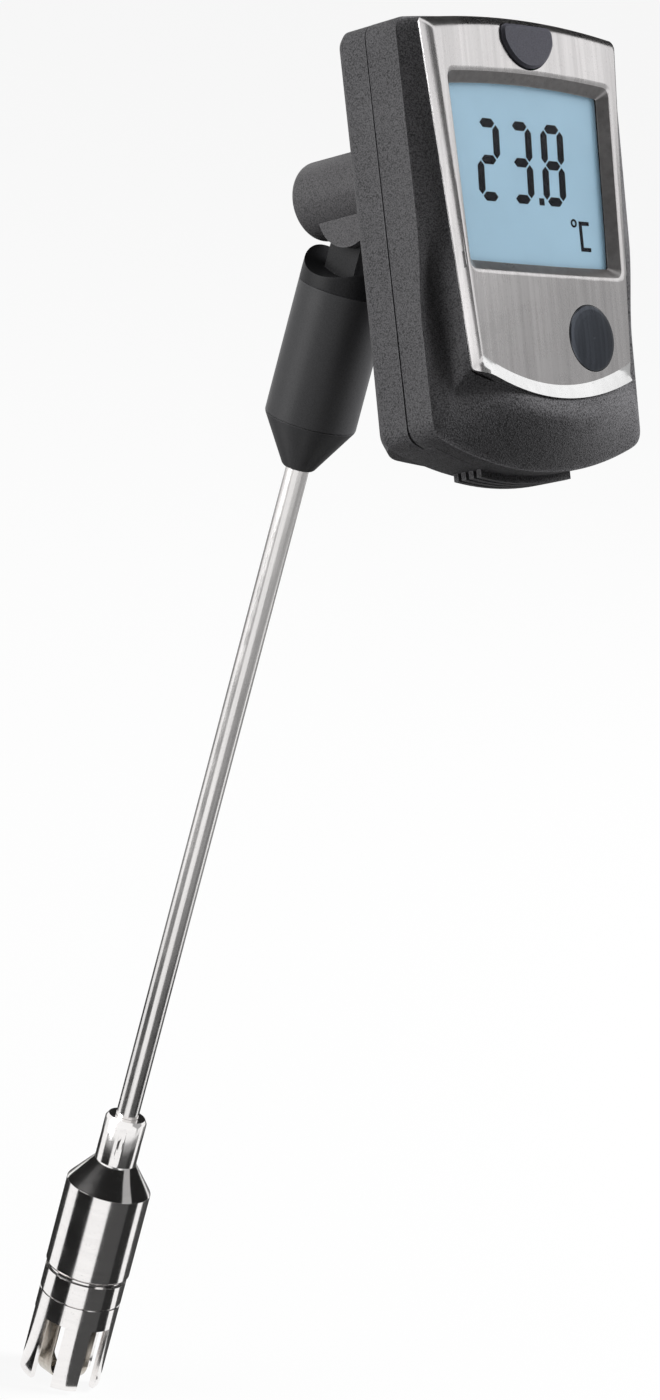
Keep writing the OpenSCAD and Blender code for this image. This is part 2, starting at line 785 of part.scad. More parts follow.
// Front half of the case: rim, raised pod and nose, open at the window
module front_shell() color([0.15, 0.15, 0.16])
    in_head()
        difference() {
            union() {
                difference() {
                    front_form();
                    front_room();
                }
                for (s = [-1, 1])
                    depth_rod(post_r, s * post_x, post_z, screw_seat + 1.2, pod_y - wall + 0.3, 32);
            }
            slab(pod_y - wall - 1, plate_y) frame_plan(bevel_w - 0.9);
            hull() {
                slab(lens_front - 0.2, lens_front - 0.1) frame_plan(bevel_w - 0.7);
                slab(pod_y, pod_y + 0.3) frame_plan(-0.1);
            }
            slab(pod_y - wall - 1.6, plate_y + 3) button_plan(slide_gap);
            cover_zone(slide_gap);
            for (s = [-1, 1])
                depth_rod(screw_r + 0.02, s * post_x, post_z, seam_y - 5, screw_seat + screw_len + 0.3, 24);
        }

// Brushed metal skin with bent sides, a pressed window frame and a curled lower lip
module faceplate() color("lightsteelblue")
    in_head()
        difference() {
            union() {
                difference() {
                    hull() {
                        slab(edge_y, edge_y + 0.1) plate_plan(0.2);
                        slab(plate_y - 0.1, plate_y) plate_plan(-0.2);
                    }
                    slab(edge_y - 1, pod_y) offset(delta = -plate_t) plate_plan(0);
                    slab(edge_y - 1, pod_y) pod_front_plan(plate_t + 0.02);
                    slab(edge_y - 1, pod_y)
                        translate([-head_w_top, -2 * head_low])
                            square([2 * head_w_top, 2 * head_low - lip_corner - 0.2]);
                }
                hull() {
                    slab(lens_front + 0.02, lens_front + 0.1) frame_plan(bevel_w - 0.8);
                    slab(plate_y - 0.2, plate_y - 0.1) frame_plan(-0.7);
                }
                slab(pod_y, plate_y + lip_out)
                    intersection() {
                        plate_plan(-0.1);
                        difference() {
                            lip_disc();
                            translate([0, lip_h]) lip_disc();
                        }
                    }
            }
            hull() {
                slab(lens_front, lens_front + 0.1) frame_plan(bevel_w);
                slab(plate_y, plate_y + 0.1) frame_plan(0);
            }
            slab(lens_front - 1, plate_y + 1) frame_plan(bevel_w);
            slab(pod_y - 2, plate_y + 2) button_plan(slide_gap);
            depth_rod(inlay_d / 2 + 0.1, inlay_x, inlay_z, pod_y - 1, plate_y + 1);
        }

// Plain domed disc in the round seat of the faceplate
module round_inlay() color("dimgray")
    in_head()
        translate([inlay_x, -pod_y, inlay_z]) rotate([90, 0, 0])
            rotate_extrude() polygon(concat(
                [[0, 0.02], [inlay_d / 2, 0.02], [inlay_d / 2, plate_t]],
                [for (a = [15 : 15 : 90]) [inlay_d / 2 * cos(a), plate_t + 0.45 * sin(a)]]
            ));

// Button at the top of the faceplate, with its stem to the switch
module mode_button() color("darkslategray")
    in_head() {
        hull() {
            slab(pod_y - wall - 0.65, plate_y + button_out - 0.25) button_plan(0);
            slab(plate_y + button_out - 0.1, plate_y + button_out) button_plan(-0.35);
        }
        slab(pod_y - wall - 0.65, pod_y - wall - seat_gap)
            translate([1.6 - button_w / 2, button_top - button_h - 0.9]) square([button_w - 3.2, 3]);
        depth_rod(1, 0, switch_z, board_front + 0.7 + button_travel + fit_gap, pod_y - wall, 24);
    }

// Clear pane behind the window frame
module window_lens() color("lightcyan", 0.4)
    in_head() slab(lens_front - lens_t, lens_front) frame_plan(bevel_w - 0.85);

// Display glass with its pale backing
module display_glass() color("lightblue")
    in_head() slab(glass_back, glass_front - ink_t) frame_plan(bevel_w - 0.6);

// Dark digits and the unit
module display_segments() color([0.05, 0.05, 0.08])
    in_head() slab(glass_front - ink_t, glass_front) marks();

// Rubber strips that join the display glass to the board
module contact_strips() color("lightpink")
    in_head()
        for (z = [frame_top - 2, frame_low + 1.4])
            slab(board_front, glass_back) translate([-pad_half, z]) square([2 * pad_half, 0.9]);

// Circuit board, narrowed at the top to pass the screw posts
module circuit_board() color("darkgreen")
    in_head()
        slab(board_back, board_front)
            intersection() {
                taper_plan(inner_top, inner_low, head_top, -pod_foot);
                polygon([
                    [-head_w_top, board_shoulder], [-8, board_shoulder], [-8, inner_roof], [8, inner_roof],
                    [8, board_shoulder], [head_w_top, board_shoulder], [head_w_top, board_foot],
                    [-head_w_top, board_foot]
                ]);
            }

// Processor under the display glass
module controller_chip() color([0.1, 0.1, 0.1])
    in_head() slab(board_front, board_front + 1) translate([-3.5, frame_low - 8.2]) square([7, 6]);

// Crystal can beside the processor
module clock_crystal() color("silver")
    in_head() slab(board_front, board_front + 1.1)
        translate([crystal_x, frame_low - 6.4]) square([crystal_l, 1.8]);

// Snap dome under the button
module dome_switch() color("gold")
    in_head() translate([0, -board_front, switch_z]) rotate([90, 0, 0])
        cylinder(r1 = 1.9, r2 = 1.1, h = 0.7, $fn = 48);

// Two terminals where the leads reach the board
module lead_terminals() color("gold")
    in_head()
        for (s = [-1, 1])
            slab(board_front, board_front + 0.8)
                translate([s * lead_pad_x - lead_pad_w / 2, frame_low - 2.4 - lead_pad_h])
                    square([lead_pad_w, lead_pad_h]);

// Tray between the cells and the board, with a shelf at each end and ribs between the cells
module battery_tray() color([0.3, 0.3, 0.32])
    in_head() {
        shelf_top = cell_top + contact_t + 0.1;
        shelf_foot = cell_foot - contact_t - 1.2;
        slab(tray_front - tray_t, tray_front)
            intersection() {
                taper_plan(inner_top, inner_low, head_top, -pod_foot - 3);
                translate([-head_w_top, shelf_foot]) square([2 * head_w_top, shelf_top + 1.1 - shelf_foot]);
            }
        for (z = [shelf_top, shelf_foot]) {
            slab(cell_y, flange_low_y - wall - seat_gap)
                intersection() {
                    translate([-shelf_half, z]) square([2 * shelf_half, 1.1]);
                    head_plan(wall + slide_gap);
                }
            slab(cell_y, tray_front)
                translate([-inner_low / 2, z]) square([inner_low, 1.1]);
        }
        for (s = [-1, 1])
            slab(cell_y + cell_d / 2 - 1.5, tray_front)
                translate([s * cell_pitch / 2 - 0.2, cell_foot]) square([0.4, cell_len]);
    }

// Three cells side by side
module battery_cells() color("steelblue")
    in_head()
        for (k = [-1 : 1])
            translate([k * cell_pitch, -cell_y, cell_foot]) rotate([0, k == 0 ? 180 : 0, 0])
                translate([0, 0, k == 0 ? -cell_len : 0]) {
                    cylinder(d = cell_d, h = cell_len - cell_nub, $fn = 64);
                    translate([0, 0, cell_len - cell_nub - 0.1])
                        cylinder(r = cell_nub_r, h = cell_nub + 0.1, $fn = 32);
                }

// Contact plates above and below each cell
module battery_contacts() color("silver")
    in_head()
        for (k = [-1 : 1])
            for (z = [cell_top, cell_foot - contact_t])
                slab(cell_y - 2.6, cell_y + 2.6)
                    translate([k * cell_pitch - 3.4, z]) square([6.8, contact_t]);

// Screws that hold the two halves of the case together
module case_screws() color("silver")
    in_head()
        for (s = [-1, 1])
            difference() {
                union() {
                    translate([0, -screw_seat, 0])
                        depth_rod(screw_head_r, s * post_x, post_z, -screw_head_h, -0.02, 32);
                    depth_rod(screw_r, s * post_x, post_z, screw_seat - 0.1, screw_seat + screw_len, 24);
                }
                depth_rod(0.8, s * post_x, post_z, screw_seat - screw_head_h - 1, screw_seat - 0.6, 6);
            }

crown_sleeve();
sensor_body();
ceramic_core();
sensor_strips();
junction_bead();
probe_stem();
thermocouple_leads();
handle_cone();
handle_sleeve();
knuckle();
hinge_pin();
friction_washers();
tilt_arm();
arm_nut();
rear_shell();
battery_cover();
front_shell();
faceplate();
round_inlay();
mode_button();
window_lens();
display_glass();
display_segments();
contact_strips();
circuit_board();
controller_chip();
clock_crystal();
dome_switch();
lead_terminals();
battery_tray();
battery_cells();
battery_contacts();
case_screws();
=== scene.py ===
"""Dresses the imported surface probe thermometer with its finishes, studio and camera."""

from __future__ import annotations

import json
import logging
import math
from dataclasses import dataclass, field, replace
from enum import Enum
from functools import cache
from typing import Any, Sequence

import bmesh
import bpy
from bpy.types import Material, Mesh, NodeSocket, NodeTree, Object
from mathutils import Matrix, Vector, geometry

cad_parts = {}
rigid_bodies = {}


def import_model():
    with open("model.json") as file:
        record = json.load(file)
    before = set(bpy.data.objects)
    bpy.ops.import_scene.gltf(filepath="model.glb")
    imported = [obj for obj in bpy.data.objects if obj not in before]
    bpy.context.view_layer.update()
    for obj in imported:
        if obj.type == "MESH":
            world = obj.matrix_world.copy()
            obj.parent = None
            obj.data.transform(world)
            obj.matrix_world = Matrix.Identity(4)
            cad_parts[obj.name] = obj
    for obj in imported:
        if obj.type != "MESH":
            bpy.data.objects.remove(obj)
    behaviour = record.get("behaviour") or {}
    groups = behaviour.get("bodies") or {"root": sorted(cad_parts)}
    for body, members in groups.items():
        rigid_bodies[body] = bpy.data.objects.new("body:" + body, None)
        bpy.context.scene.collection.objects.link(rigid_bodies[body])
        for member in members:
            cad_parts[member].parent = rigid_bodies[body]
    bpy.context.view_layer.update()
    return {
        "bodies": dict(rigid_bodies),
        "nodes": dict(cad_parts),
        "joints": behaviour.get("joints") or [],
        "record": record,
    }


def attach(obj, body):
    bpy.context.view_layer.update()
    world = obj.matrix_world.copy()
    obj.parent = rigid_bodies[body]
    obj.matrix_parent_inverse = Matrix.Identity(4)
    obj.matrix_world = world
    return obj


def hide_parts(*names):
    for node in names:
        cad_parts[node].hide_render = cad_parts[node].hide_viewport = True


LOG = logging.getLogger("probe_thermometer")
MM = 0.001
MICRON = 0.000001
HEAD_TILT_DEG = 28.0
Colour = tuple[float, float, float]
Place = tuple[float, float, float]
Tone = tuple[float, float, float, float]
Plane = tuple[float, float]
Ring = list[Place]
UNIT: Plane = (0.0, 1.0)


class Body(Enum):
    """The rigid bodies that pieces ride on."""

    PROBE = "probe"
    BAND = "sensor_band"
    HEAD = "display_head"
    BUTTON = "mode_button"
    COVER = "battery_cover"


class Grain(Enum):
    """Run of a worked metal's lines: how much it is packed along X, Y and Z, and its turn round X."""

    UP_PROBE = ((1.0, 1.0, 0.02), 0.0)
    UP_HEAD = ((1.0, 1.0, 0.02), HEAD_TILT_DEG)
    ROUND = ((0.03, 0.03, 1.0), 0.0)
    NONE = ((1.0, 1.0, 1.0), 0.0)


def feed(tree: NodeTree, node: Any, feeds: dict[Any, Any]) -> None:
    """Feeds a node's inputs.

    Args:
        tree: The tree that the node is in.
        node: The node.
        feeds: Input name or index to a plain value or to another node's output.
    """
    for name, value in feeds.items():
        if isinstance(value, NodeSocket):
            tree.links.new(value, node.inputs[name])
        else:
            node.inputs[name].default_value = value


def add_node(tree: NodeTree, kind: str, feeds: dict[Any, Any] | None = None, **settings: Any) -> Any:
    """Adds a shader node and feeds its inputs.

    Args:
        tree: The node tree that takes the node.
        kind: Blender's name for the node type, without the ShaderNode that each starts with.
        feeds: Input name or index to a plain value or to another node's output.
        settings: Attributes of the node itself.

    Returns:
        The new node.
    """
    made = tree.nodes.new("ShaderNode" + kind)
    for name, value in settings.items():
        setattr(made, name, value)
    feed(tree, made, feeds or {})
    return made


def mix_colours(tree: NodeTree, share: Any, first: Any, second: Any) -> Any:
    """Mixes two colours.

    Args:
        tree: The node tree that takes the node.
        share: Share of the second colour.
        first: Colour at share 0.
        second: Colour at share 1.

    Returns:
        The mixed colour's socket.
    """
    return add_node(tree, "Mix", {0: share, 6: first, 7: second}, data_type="RGBA").outputs[2]


def remap(tree: NodeTree, value: Any, given: Plane, wanted: Plane = UNIT) -> Any:
    """Maps a value from one range to another, clamped.

    Args:
        tree: The node tree that takes the node.
        value: The socket to map.
        given: The values that become the first and the last result.
        wanted: The first and the last result.

    Returns:
        The mapped value's socket.
    """
    return add_node(tree, "MapRange", dict(enumerate((value, *given, *wanted)))).outputs[0]


def math_node(tree: NodeTree, operation: str, *values: Any) -> Any:
    """Works out one sum, product or like value.

    Args:
        tree: The node tree that takes the node.
        operation: Blender's name for the operation.
        values: The operands.

    Returns:
        The result's socket.
    """
    return add_node(tree, "Math", dict(enumerate(values)), operation=operation).outputs[0]


def noise(tree: NodeTree, place: Any, scale: Any, detail: float, **more: float) -> Any:
    """Adds a soft random pattern.

    Args:
        tree: The node tree that takes the node.
        place: The socket of the place that it is drawn at.
        scale: How finely it repeats.
        detail: How many finer layers it has.
        more: Other inputs of the node.

    Returns:
        The pattern's socket.
    """
    feeds = {"Vector": place, "Scale": scale, "Detail": detail, **more}
    return add_node(tree, "TexNoise", feeds).outputs[0]


def bump(tree: NodeTree, height: Any, microns: float, strength: float) -> Any:
    """Turns a height into a bumped normal.

    Args:
        tree: The node tree that takes the node.
        height: The height's socket.
        microns: Depth that a full height stands for.
        strength: Share of the bump that shows.

    Returns:
        The normal's socket.
    """
    feeds = {"Height": height, "Distance": microns * MICRON, "Strength": strength}
    return add_node(tree, "Bump", feeds).outputs[0]


def grey(tone: float) -> Tone:
    """Gives a grey as a socket value.

    Args:
        tone: How light it is, from 0 to 1.

    Returns:
        Its red, green, blue and opacity.
    """
    return (tone, tone, tone, 1.0)


def start_group(name: str, inputs: dict[str, Any]) -> tuple[NodeTree, Any, Any]:
    """Makes a shader group with its inputs.

    Args:
        name: Name of the group.
        inputs: Socket name to its first value, a number or three.

    Returns:
        The group's tree, its inputs by name as sockets inside it, and the socket of the piece's own places.
    """
    tree = bpy.data.node_groups.new(name, "ShaderNodeTree")
    for label, value in inputs.items():
        kind = "NodeSocketVector" if isinstance(value, tuple) else "NodeSocketFloat"
        socket = tree.interface.new_socket(label, in_out="INPUT", socket_type=kind)
        socket.default_value = value
    return tree, tree.nodes.new("NodeGroupInput").outputs, add_node(tree, "TexCoord").outputs["Object"]


def end_group(tree: NodeTree, outputs: dict[str, Any]) -> NodeTree:
    """Gives a shader group its outputs.

    Args:
        tree: The group's tree.
        outputs: Socket name to the socket inside that feeds it.

    Returns:
        The same tree.
    """
    for label in outputs:
        tree.interface.new_socket(label, in_out="OUTPUT", socket_type="NodeSocketFloat")
    feed(tree, tree.nodes.new("NodeGroupOutput"), outputs)
    return tree


@cache
def moulded_grain() -> NodeTree:
    """Builds the fine pebbled texture of moulded plastic, once.

    Returns:
        The group, which puts out a height and a mask of its pits.
    """
    cell_share = 0.6
    pit_range = (0.62, 1.05)
    tree, given, place = start_group("moulded_grain", {"Size": 0.0002})
    scale = math_node(tree, "DIVIDE", 1.0, given["Size"])
    fine = noise(tree, place, scale, 2.0, Roughness=0.6)
    cells = add_node(tree, "TexVoronoi", {"Vector": place, "Scale": scale}).outputs[0]
    both = math_node(tree, "ADD", fine, math_node(tree, "MULTIPLY", cells, cell_share))
    return end_group(tree, {"Height": both, "Pits": remap(tree, both, pit_range)})


@cache
def worked_lines() -> NodeTree:
    """Builds the lines of brushed, drawn or turned metal, once.

    Returns:
        The group, which puts out a height and a mask of its broader streaks.
    """
    coarse_share = 0.12
    streak_range = (0.35, 0.68)
    inputs = {"Pack": (1.0, 1.0, 1.0), "Turn": (0.0, 0.0, 0.0), "Size": 0.0001}
    tree, given, place = start_group("worked_lines", inputs)
    turned = add_node(tree, "Mapping", {"Vector": place, "Rotation": given["Turn"]}).outputs[0]
    packed = add_node(tree, "VectorMath", {0: turned, 1: given["Pack"]}, operation="MULTIPLY").outputs[0]
    scale = math_node(tree, "DIVIDE", 1.0, given["Size"])
    fine = noise(tree, packed, scale, 3.0)
    coarse = noise(tree, packed, math_node(tree, "MULTIPLY", scale, coarse_share), 4.0)
    return end_group(tree, {"Height": fine, "Streaks": remap(tree, coarse, streak_range)})


@cache
def edge_wear_and_highlight() -> NodeTree:
    """Builds the mask of the outer edges, where handling polishes a piece and a painted highlight lightens
    it, once.

    Returns:
        The group, which puts out the mask.
    """
    edge_range = (0.99, 0.8)
    patch_scale = 420.0
    patch_range = (0.35, 0.6)
    least_wear_and_highlight = 0.35
    tree, given, place = start_group("edge_wear_and_highlight", {"Radius": 0.0003})
    # The mask lightens edges partly for real rubbing and partly as a painted edge highlight.
    rounded = add_node(tree, "Bevel", {"Radius": given["Radius"]}, samples=4).outputs[0]
    straight = add_node(tree, "NewGeometry").outputs["Normal"]
    dot = add_node(tree, "VectorMath", {0: rounded, 1: straight}, operation="DOT_PRODUCT").outputs["Value"]
    patches = remap(tree, noise(tree, place, patch_scale, 3.0), patch_range, (least_wear_and_highlight, 1.0))
    wear_and_highlight = math_node(tree, "MULTIPLY", remap(tree, dot, edge_range), patches)
    return end_group(tree, {"Mask": wear_and_highlight})


@cache
def handling() -> NodeTree:
    """Builds the broad soft patches left by fingers and wiping, and fine specks, once.

    Returns:
        The group, which puts out a mask of each.
    """
    patch_range = (0.35, 0.65)
    speck_scale = 5200.0
    speck_range = (0.68, 0.74)
    tree, given, place = start_group("handling", {"Size": 0.01})
    scale = math_node(tree, "DIVIDE", 1.0, given["Size"])
    broad = noise(tree, place, scale, 4.0, Distortion=0.6)
    dots = noise(tree, place, speck_scale, 1.0)
    outputs = {"Patches": remap(tree, broad, patch_range), "Specks": remap(tree, dots, speck_range)}
    return end_group(tree, outputs)


def use(tree: NodeTree, group: NodeTree, **values: Any) -> Any:
    """Places a shared group in a material.

    Args:
        tree: The material's tree.
        group: The group.
        values: Input name to its value.

    Returns:
        The group node's outputs.
    """
    return add_node(tree, "Group", values, node_tree=group).outputs


@dataclass(frozen=True)
class Finish:
    """A surface finish. Subclasses say how its shader is made."""

    name: str
    base: Colour

    def material(self) -> Material:
        """Gives the finish's material, made on first use.

        Returns:
            The material.
        """
        title = self.name + "_finish"
        made = bpy.data.materials.get(title)
        if made is None:
            made = bpy.data.materials.new(title)
            made.use_nodes = True
            tree = made.node_tree
            self.shade(tree, tree.nodes["Principled BSDF"])
        return made

    def shade(self, tree: NodeTree, shader: Any) -> None:
        """Builds the finish's nodes around its shader.

        Args:
            tree: The material's tree.
            shader: Its Principled BSDF node.
        """
        raise NotImplementedError

    def tint(self, share: float) -> Tone:
        """Gives the base colour times a share, as a socket value.

        Args:
            share: The share.

        Returns:
            Its red, green, blue and opacity.
        """
        red, green, blue = self.base
        return (red * share, green * share, blue * share, 1.0)


@dataclass(frozen=True)
class MouldedPlastic(Finish):
    """Opaque moulded plastic with a fine pebbled grain and edges lightened by rubbing and by a painted
    highlight.
    """

    roughness: float = 0.5
    grain_mm: float = 0.2
    grain_microns: float = 20.0
    speckle: float = 0.5
    wear_and_highlight_share: float = 0.5
    mirror: float = 0.16
    edge_mm: float = 0.4
    touch_mm: float = 12.0
    pit_share: float = 0.6
    wear_and_highlight_tint: float = 3.2
    smoother: float = 0.05
    rougher: float = 0.07
    bumps: float = 0.9

    def shade(self, tree: NodeTree, shader: Any) -> None:
        """Builds grain, rubbed edges with a painted edge highlight, and uneven gloss around the shader."""
        grain = use(tree, moulded_grain(), Size=self.grain_mm * MM)
        wear_and_highlight = use(tree, edge_wear_and_highlight(), Radius=self.edge_mm * MM)
        patches = use(tree, handling(), Size=self.touch_mm * MM)["Patches"]
        light, dark = self.tint(1.0 + self.speckle), self.tint(1.0 - self.pit_share * self.speckle)
        grained = mix_colours(tree, grain["Pits"], light, dark)
        # Edges lighten towards a lighter tint: partly rubbing, partly a painted highlight.
        share = math_node(tree, "MULTIPLY", wear_and_highlight["Mask"], self.wear_and_highlight_share)
        gloss = (self.roughness - self.smoother, self.roughness + self.rougher)
        feeds = {
            "Specular IOR Level": self.mirror,
            "Base Color": mix_colours(tree, share, grained, self.tint(self.wear_and_highlight_tint)),
            "Roughness": remap(tree, patches, UNIT, gloss),
            "Normal": bump(tree, grain["Height"], self.grain_microns, self.bumps),
        }
        feed(tree, shader, feeds)


@dataclass(frozen=True)
class WorkedMetal(Finish):
    """Bare metal with the lines its making left and brighter edges, partly polish and partly a painted
    highlight.
    """

    roughness: float = 0.2
    grain: Grain = Grain.NONE
    line_mm: float = 0.08
    line_microns: float = 2.0
    streak: float = 0.15
    edge_wear_and_highlight_share: float = 0.5
    edge_mm: float = 0.2
    edge_wear_and_highlight_tone: Tone = (0.95, 0.95, 0.96, 1.0)
    touch_mm: float = 6.0
    speck_share: float = 0.35
    speck_tint: float = 0.35
    line_gloss: float = 0.12
    touch_gloss: float = 0.06
    gloss_drop: float = 0.08
    bumps: float = 0.8

    def shade(self, tree: NodeTree, shader: Any) -> None:
        """Builds lines, streaks, specks and bright edges, partly a painted highlight, around the shader."""
        pack, turn_deg = self.grain.value
        turn = (math.radians(turn_deg), 0.0, 0.0)
        lines = use(tree, worked_lines(), Pack=pack, Size=self.line_mm * MM, Turn=turn)
        wear_and_highlight = use(tree, edge_wear_and_highlight(), Radius=self.edge_mm * MM)
        touch = use(tree, handling(), Size=self.touch_mm * MM)
        body = mix_colours(tree, lines["Streaks"], self.tint(1.0), self.tint(1.0 - self.streak))
        specks = math_node(tree, "MULTIPLY", touch["Specks"], self.speck_share)
        specked = mix_colours(tree, specks, body, self.tint(self.speck_tint))
        # Edges turn towards a near-white tone: partly polish, partly a painted highlight.
        edges = math_node(tree, "MULTIPLY", wear_and_highlight["Mask"], self.edge_wear_and_highlight_share)
        spread = math_node(tree, "MULTIPLY", lines["Height"], self.line_gloss)
        patches = math_node(tree, "MULTIPLY", touch["Patches"], self.touch_gloss)
        uneven = math_node(tree, "ADD", spread, patches)
        feeds = {
            "Metallic": 1.0,
            "Base Color": mix_colours(tree, edges, specked, self.edge_wear_and_highlight_tone),
            "Roughness": math_node(tree, "ADD", uneven, self.roughness - self.gloss_drop),
            "Normal": bump(tree, lines["Height"], self.line_microns, self.bumps),
        }
        feed(tree, shader, feeds)


@dataclass(frozen=True)
class ClearPane(Finish):
    """Clear plastic pane with a trace of handling."""

    refraction: float = 1.15
    mirror: float = 0.3
    touch_mm: float = 20.0
    smudge: float = 0.02
    haze: float = 0.004

    def shade(self, tree: NodeTree, shader: Any) -> None:
        """Builds a smooth transmitting shader with faint smudges."""
        patches = use(tree, handling(), Size=self.touch_mm * MM)["Patches"]
        feeds = {
            "Transmission Weight": 1.0,
            "IOR": self.refraction,
            "Specular IOR Level": self.mirror,
            "Base Color": mix_colours(tree, patches, self.tint(1.0), self.tint(1.0 - self.smudge)),
            "Roughness": remap(tree, patches, UNIT, (0.0, self.haze)),
        }
        feed(tree, shader, feeds)


@dataclass(frozen=True)
class SoftSurface(Finish):
    """Plain non-metal surface with fine mottling, such as ceramic, lacquer, ink or a cell's sleeve."""

    roughness: float = 0.5
    mottle: float = 0.1
    grain_mm: float = 0.15
    grain_microns: float = 4.0
    coat: float = 0.0
    mirror: float = 0.5
    touch_mm: float = 8.0
    smoother: float = 0.04
    rougher: float = 0.06
    bumps: float = 0.6

    def shade(self, tree: NodeTree, shader: Any) -> None:
        """Builds mottling and a faint grain around the shader."""
        height = use(tree, moulded_grain(), Size=self.grain_mm * MM)["Height"]
        patches = use(tree, handling(), Size=self.touch_mm * MM)["Patches"]
        gloss = (self.roughness - self.smoother, self.roughness + self.rougher)
        feeds = {
            "Coat Weight": self.coat,
            "Specular IOR Level": self.mirror,
            "Base Color": mix_colours(tree, patches, self.tint(1.0), self.tint(1.0 - self.mottle)),
            "Roughness": remap(tree, patches, UNIT, gloss),
            "Normal": bump(tree, height, self.grain_microns, self.bumps),
        }
        feed(tree, shader, feeds)


@dataclass(frozen=True)
class Finishes:
    """Every finish on the thermometer. Their values stand in the order of each class's fields."""

    case: Finish = MouldedPlastic("case_plastic", (0.066, 0.065, 0.068), 0.46, 0.2, 60.0, 0.95, 0.7)
    handle: Finish = MouldedPlastic("handle_plastic", (0.052, 0.052, 0.054), 0.38, 0.12, 6.0, 0.2, 0.25)
    # The knuckle's very dark base is painted shade for the shadowed joint under the arm.
    knuckle: Finish = MouldedPlastic("knuckle_plastic", (0.014, 0.014, 0.015), 0.42, 0.18, 14.0, 0.4, 0.35)
    # The arm's lighter base is partly its own tone and partly painted light on its lit side.
    arm: Finish = MouldedPlastic("arm_plastic_painted_light", (0.08, 0.078, 0.081), 0.44, 0.2, 20.0, 0.6, 0.3)
    tray: Finish = MouldedPlastic("tray_plastic", (0.06, 0.06, 0.065), 0.5, 0.2, 10.0, 0.3, 0.3)
    button: Finish = MouldedPlastic("button_plastic", (0.05, 0.05, 0.06), 0.4, 0.14, 8.0, 0.35, 0.3)
    plate: Finish = WorkedMetal("plate_steel", (0.77, 0.75, 0.75), 0.27, Grain.UP_HEAD, 0.11, 6.0, 0.2, 0.8)
    # A lighter, smoother copy of the plate's steel; its lighter colour is a painted highlight on the flared
    # lip.
    lip: Finish = WorkedMetal("lip_steel_painted_highlight", (0.95, 0.95, 0.95), 0.2, Grain.UP_HEAD, 0.11, 2.0, 0.06, 0.2)
    # A darker copy of the plate's steel: painted shade on the window frame's slopes.
    slope: Finish = WorkedMetal("slope_steel_painted_shade", (0.3, 0.29, 0.29), 0.3, Grain.NONE, 0.11, 3.0, 0.2, 0.3)
    body: Finish = WorkedMetal("polished_steel", (0.93, 0.91, 0.9), 0.12, Grain.ROUND, 0.07, 0.6, 0.04, 0.3)
    stem: Finish = WorkedMetal("stem_steel", (0.88, 0.86, 0.85), 0.2, Grain.UP_PROBE, 0.05, 1.5, 0.12, 0.2)
    strip: Finish = WorkedMetal("strip_alloy", (0.62, 0.58, 0.52), 0.22, Grain.UP_PROBE, 0.06, 1.0, 0.2, 0.3)
    weld: Finish = WorkedMetal("weld_bead", (0.3, 0.28, 0.27), 0.4, Grain.NONE, 0.1, 6.0, 0.4, 0.1)
    pin: Finish = WorkedMetal("pin_steel", (0.55, 0.55, 0.56), 0.28, Grain.ROUND, 0.06, 2.0, 0.15, 0.3)
    brass: Finish = WorkedMetal("nut_brass", (0.72, 0.55, 0.27), 0.25, Grain.NONE, 0.06, 2.0, 0.15, 0.3)
    contact: Finish = WorkedMetal("contact_metal", (0.78, 0.7, 0.48), 0.25, Grain.NONE, 0.05, 1.0, 0.15, 0.3)
    can: Finish = WorkedMetal("crystal_can", (0.75, 0.75, 0.74), 0.3, Grain.UP_PROBE, 0.05, 1.0, 0.1, 0.2)
    inlay: Finish = WorkedMetal("plain_inlay", (0.1, 0.11, 0.13), 0.3, Grain.UP_HEAD, 0.08, 2.0, 0.3, 0.2)
    pane: Finish = ClearPane("clear_pane", (0.97, 0.985, 1.0))
    display: Finish = SoftSurface("display_backing", (0.48, 0.72, 0.88), 0.45, 0.05, 0.1, 1.0, 0.1)
    ink: Finish = SoftSurface("display_ink", (0.004, 0.004, 0.008), 0.5, 0.1, 0.1, 1.0, 0.0, 0.05)
    ceramic: Finish = SoftSurface("fired_ceramic", (0.8, 0.72, 0.58), 0.6, 0.18, 0.12, 6.0)
    wire: Finish = SoftSurface("wire_sheath", (0.05, 0.3, 0.14), 0.5, 0.15, 0.3, 10.0)
    washer: Finish = SoftSurface("washer_plastic", (0.5, 0.26, 0.08), 0.45, 0.1, 0.2, 4.0)
    rubber: Finish = SoftSurface("contact_rubber", (0.45, 0.36, 0.38), 0.7, 0.2, 0.1, 10.0)
    board: Finish = SoftSurface("board_lacquer", (0.03, 0.16, 0.07), 0.3, 0.3, 0.5, 10.0, 0.4)
    chip: Finish = SoftSurface("chip_body", (0.02, 0.02, 0.021), 0.5, 0.2, 0.1, 6.0)
    cell: Finish = SoftSurface("cell_sleeve", (0.05, 0.09, 0.2), 0.25, 0.1, 0.6, 2.0, 0.5)


def curve(start: Vector, corner: Vector, stop: Vector, share: float) -> Vector:
    """Gives a point of a curve that rounds a corner and leaves both its sides smoothly.

    Args:
        start: Where the curve begins.
        corner: The sharp corner.
        stop: Where the curve ends.
        share: How far along the point is, from 0 to 1.

    Returns:
        The point.
    """
    rest = 1 - share
    return start * rest**2 + corner * 2 * share * rest + stop * share**2


def ease(low: float, high: float, value: float) -> float:
    """Gives a smooth step.

    Args:
        low: Value where it is still 0.
        high: Value where it reaches 1.
        value: The value.

    Returns:
        The step's height there.
    """
    t = min(1.0, max(0.0, (value - low) / (high - low)))
    return t * t * (3.0 - 2.0 * t)


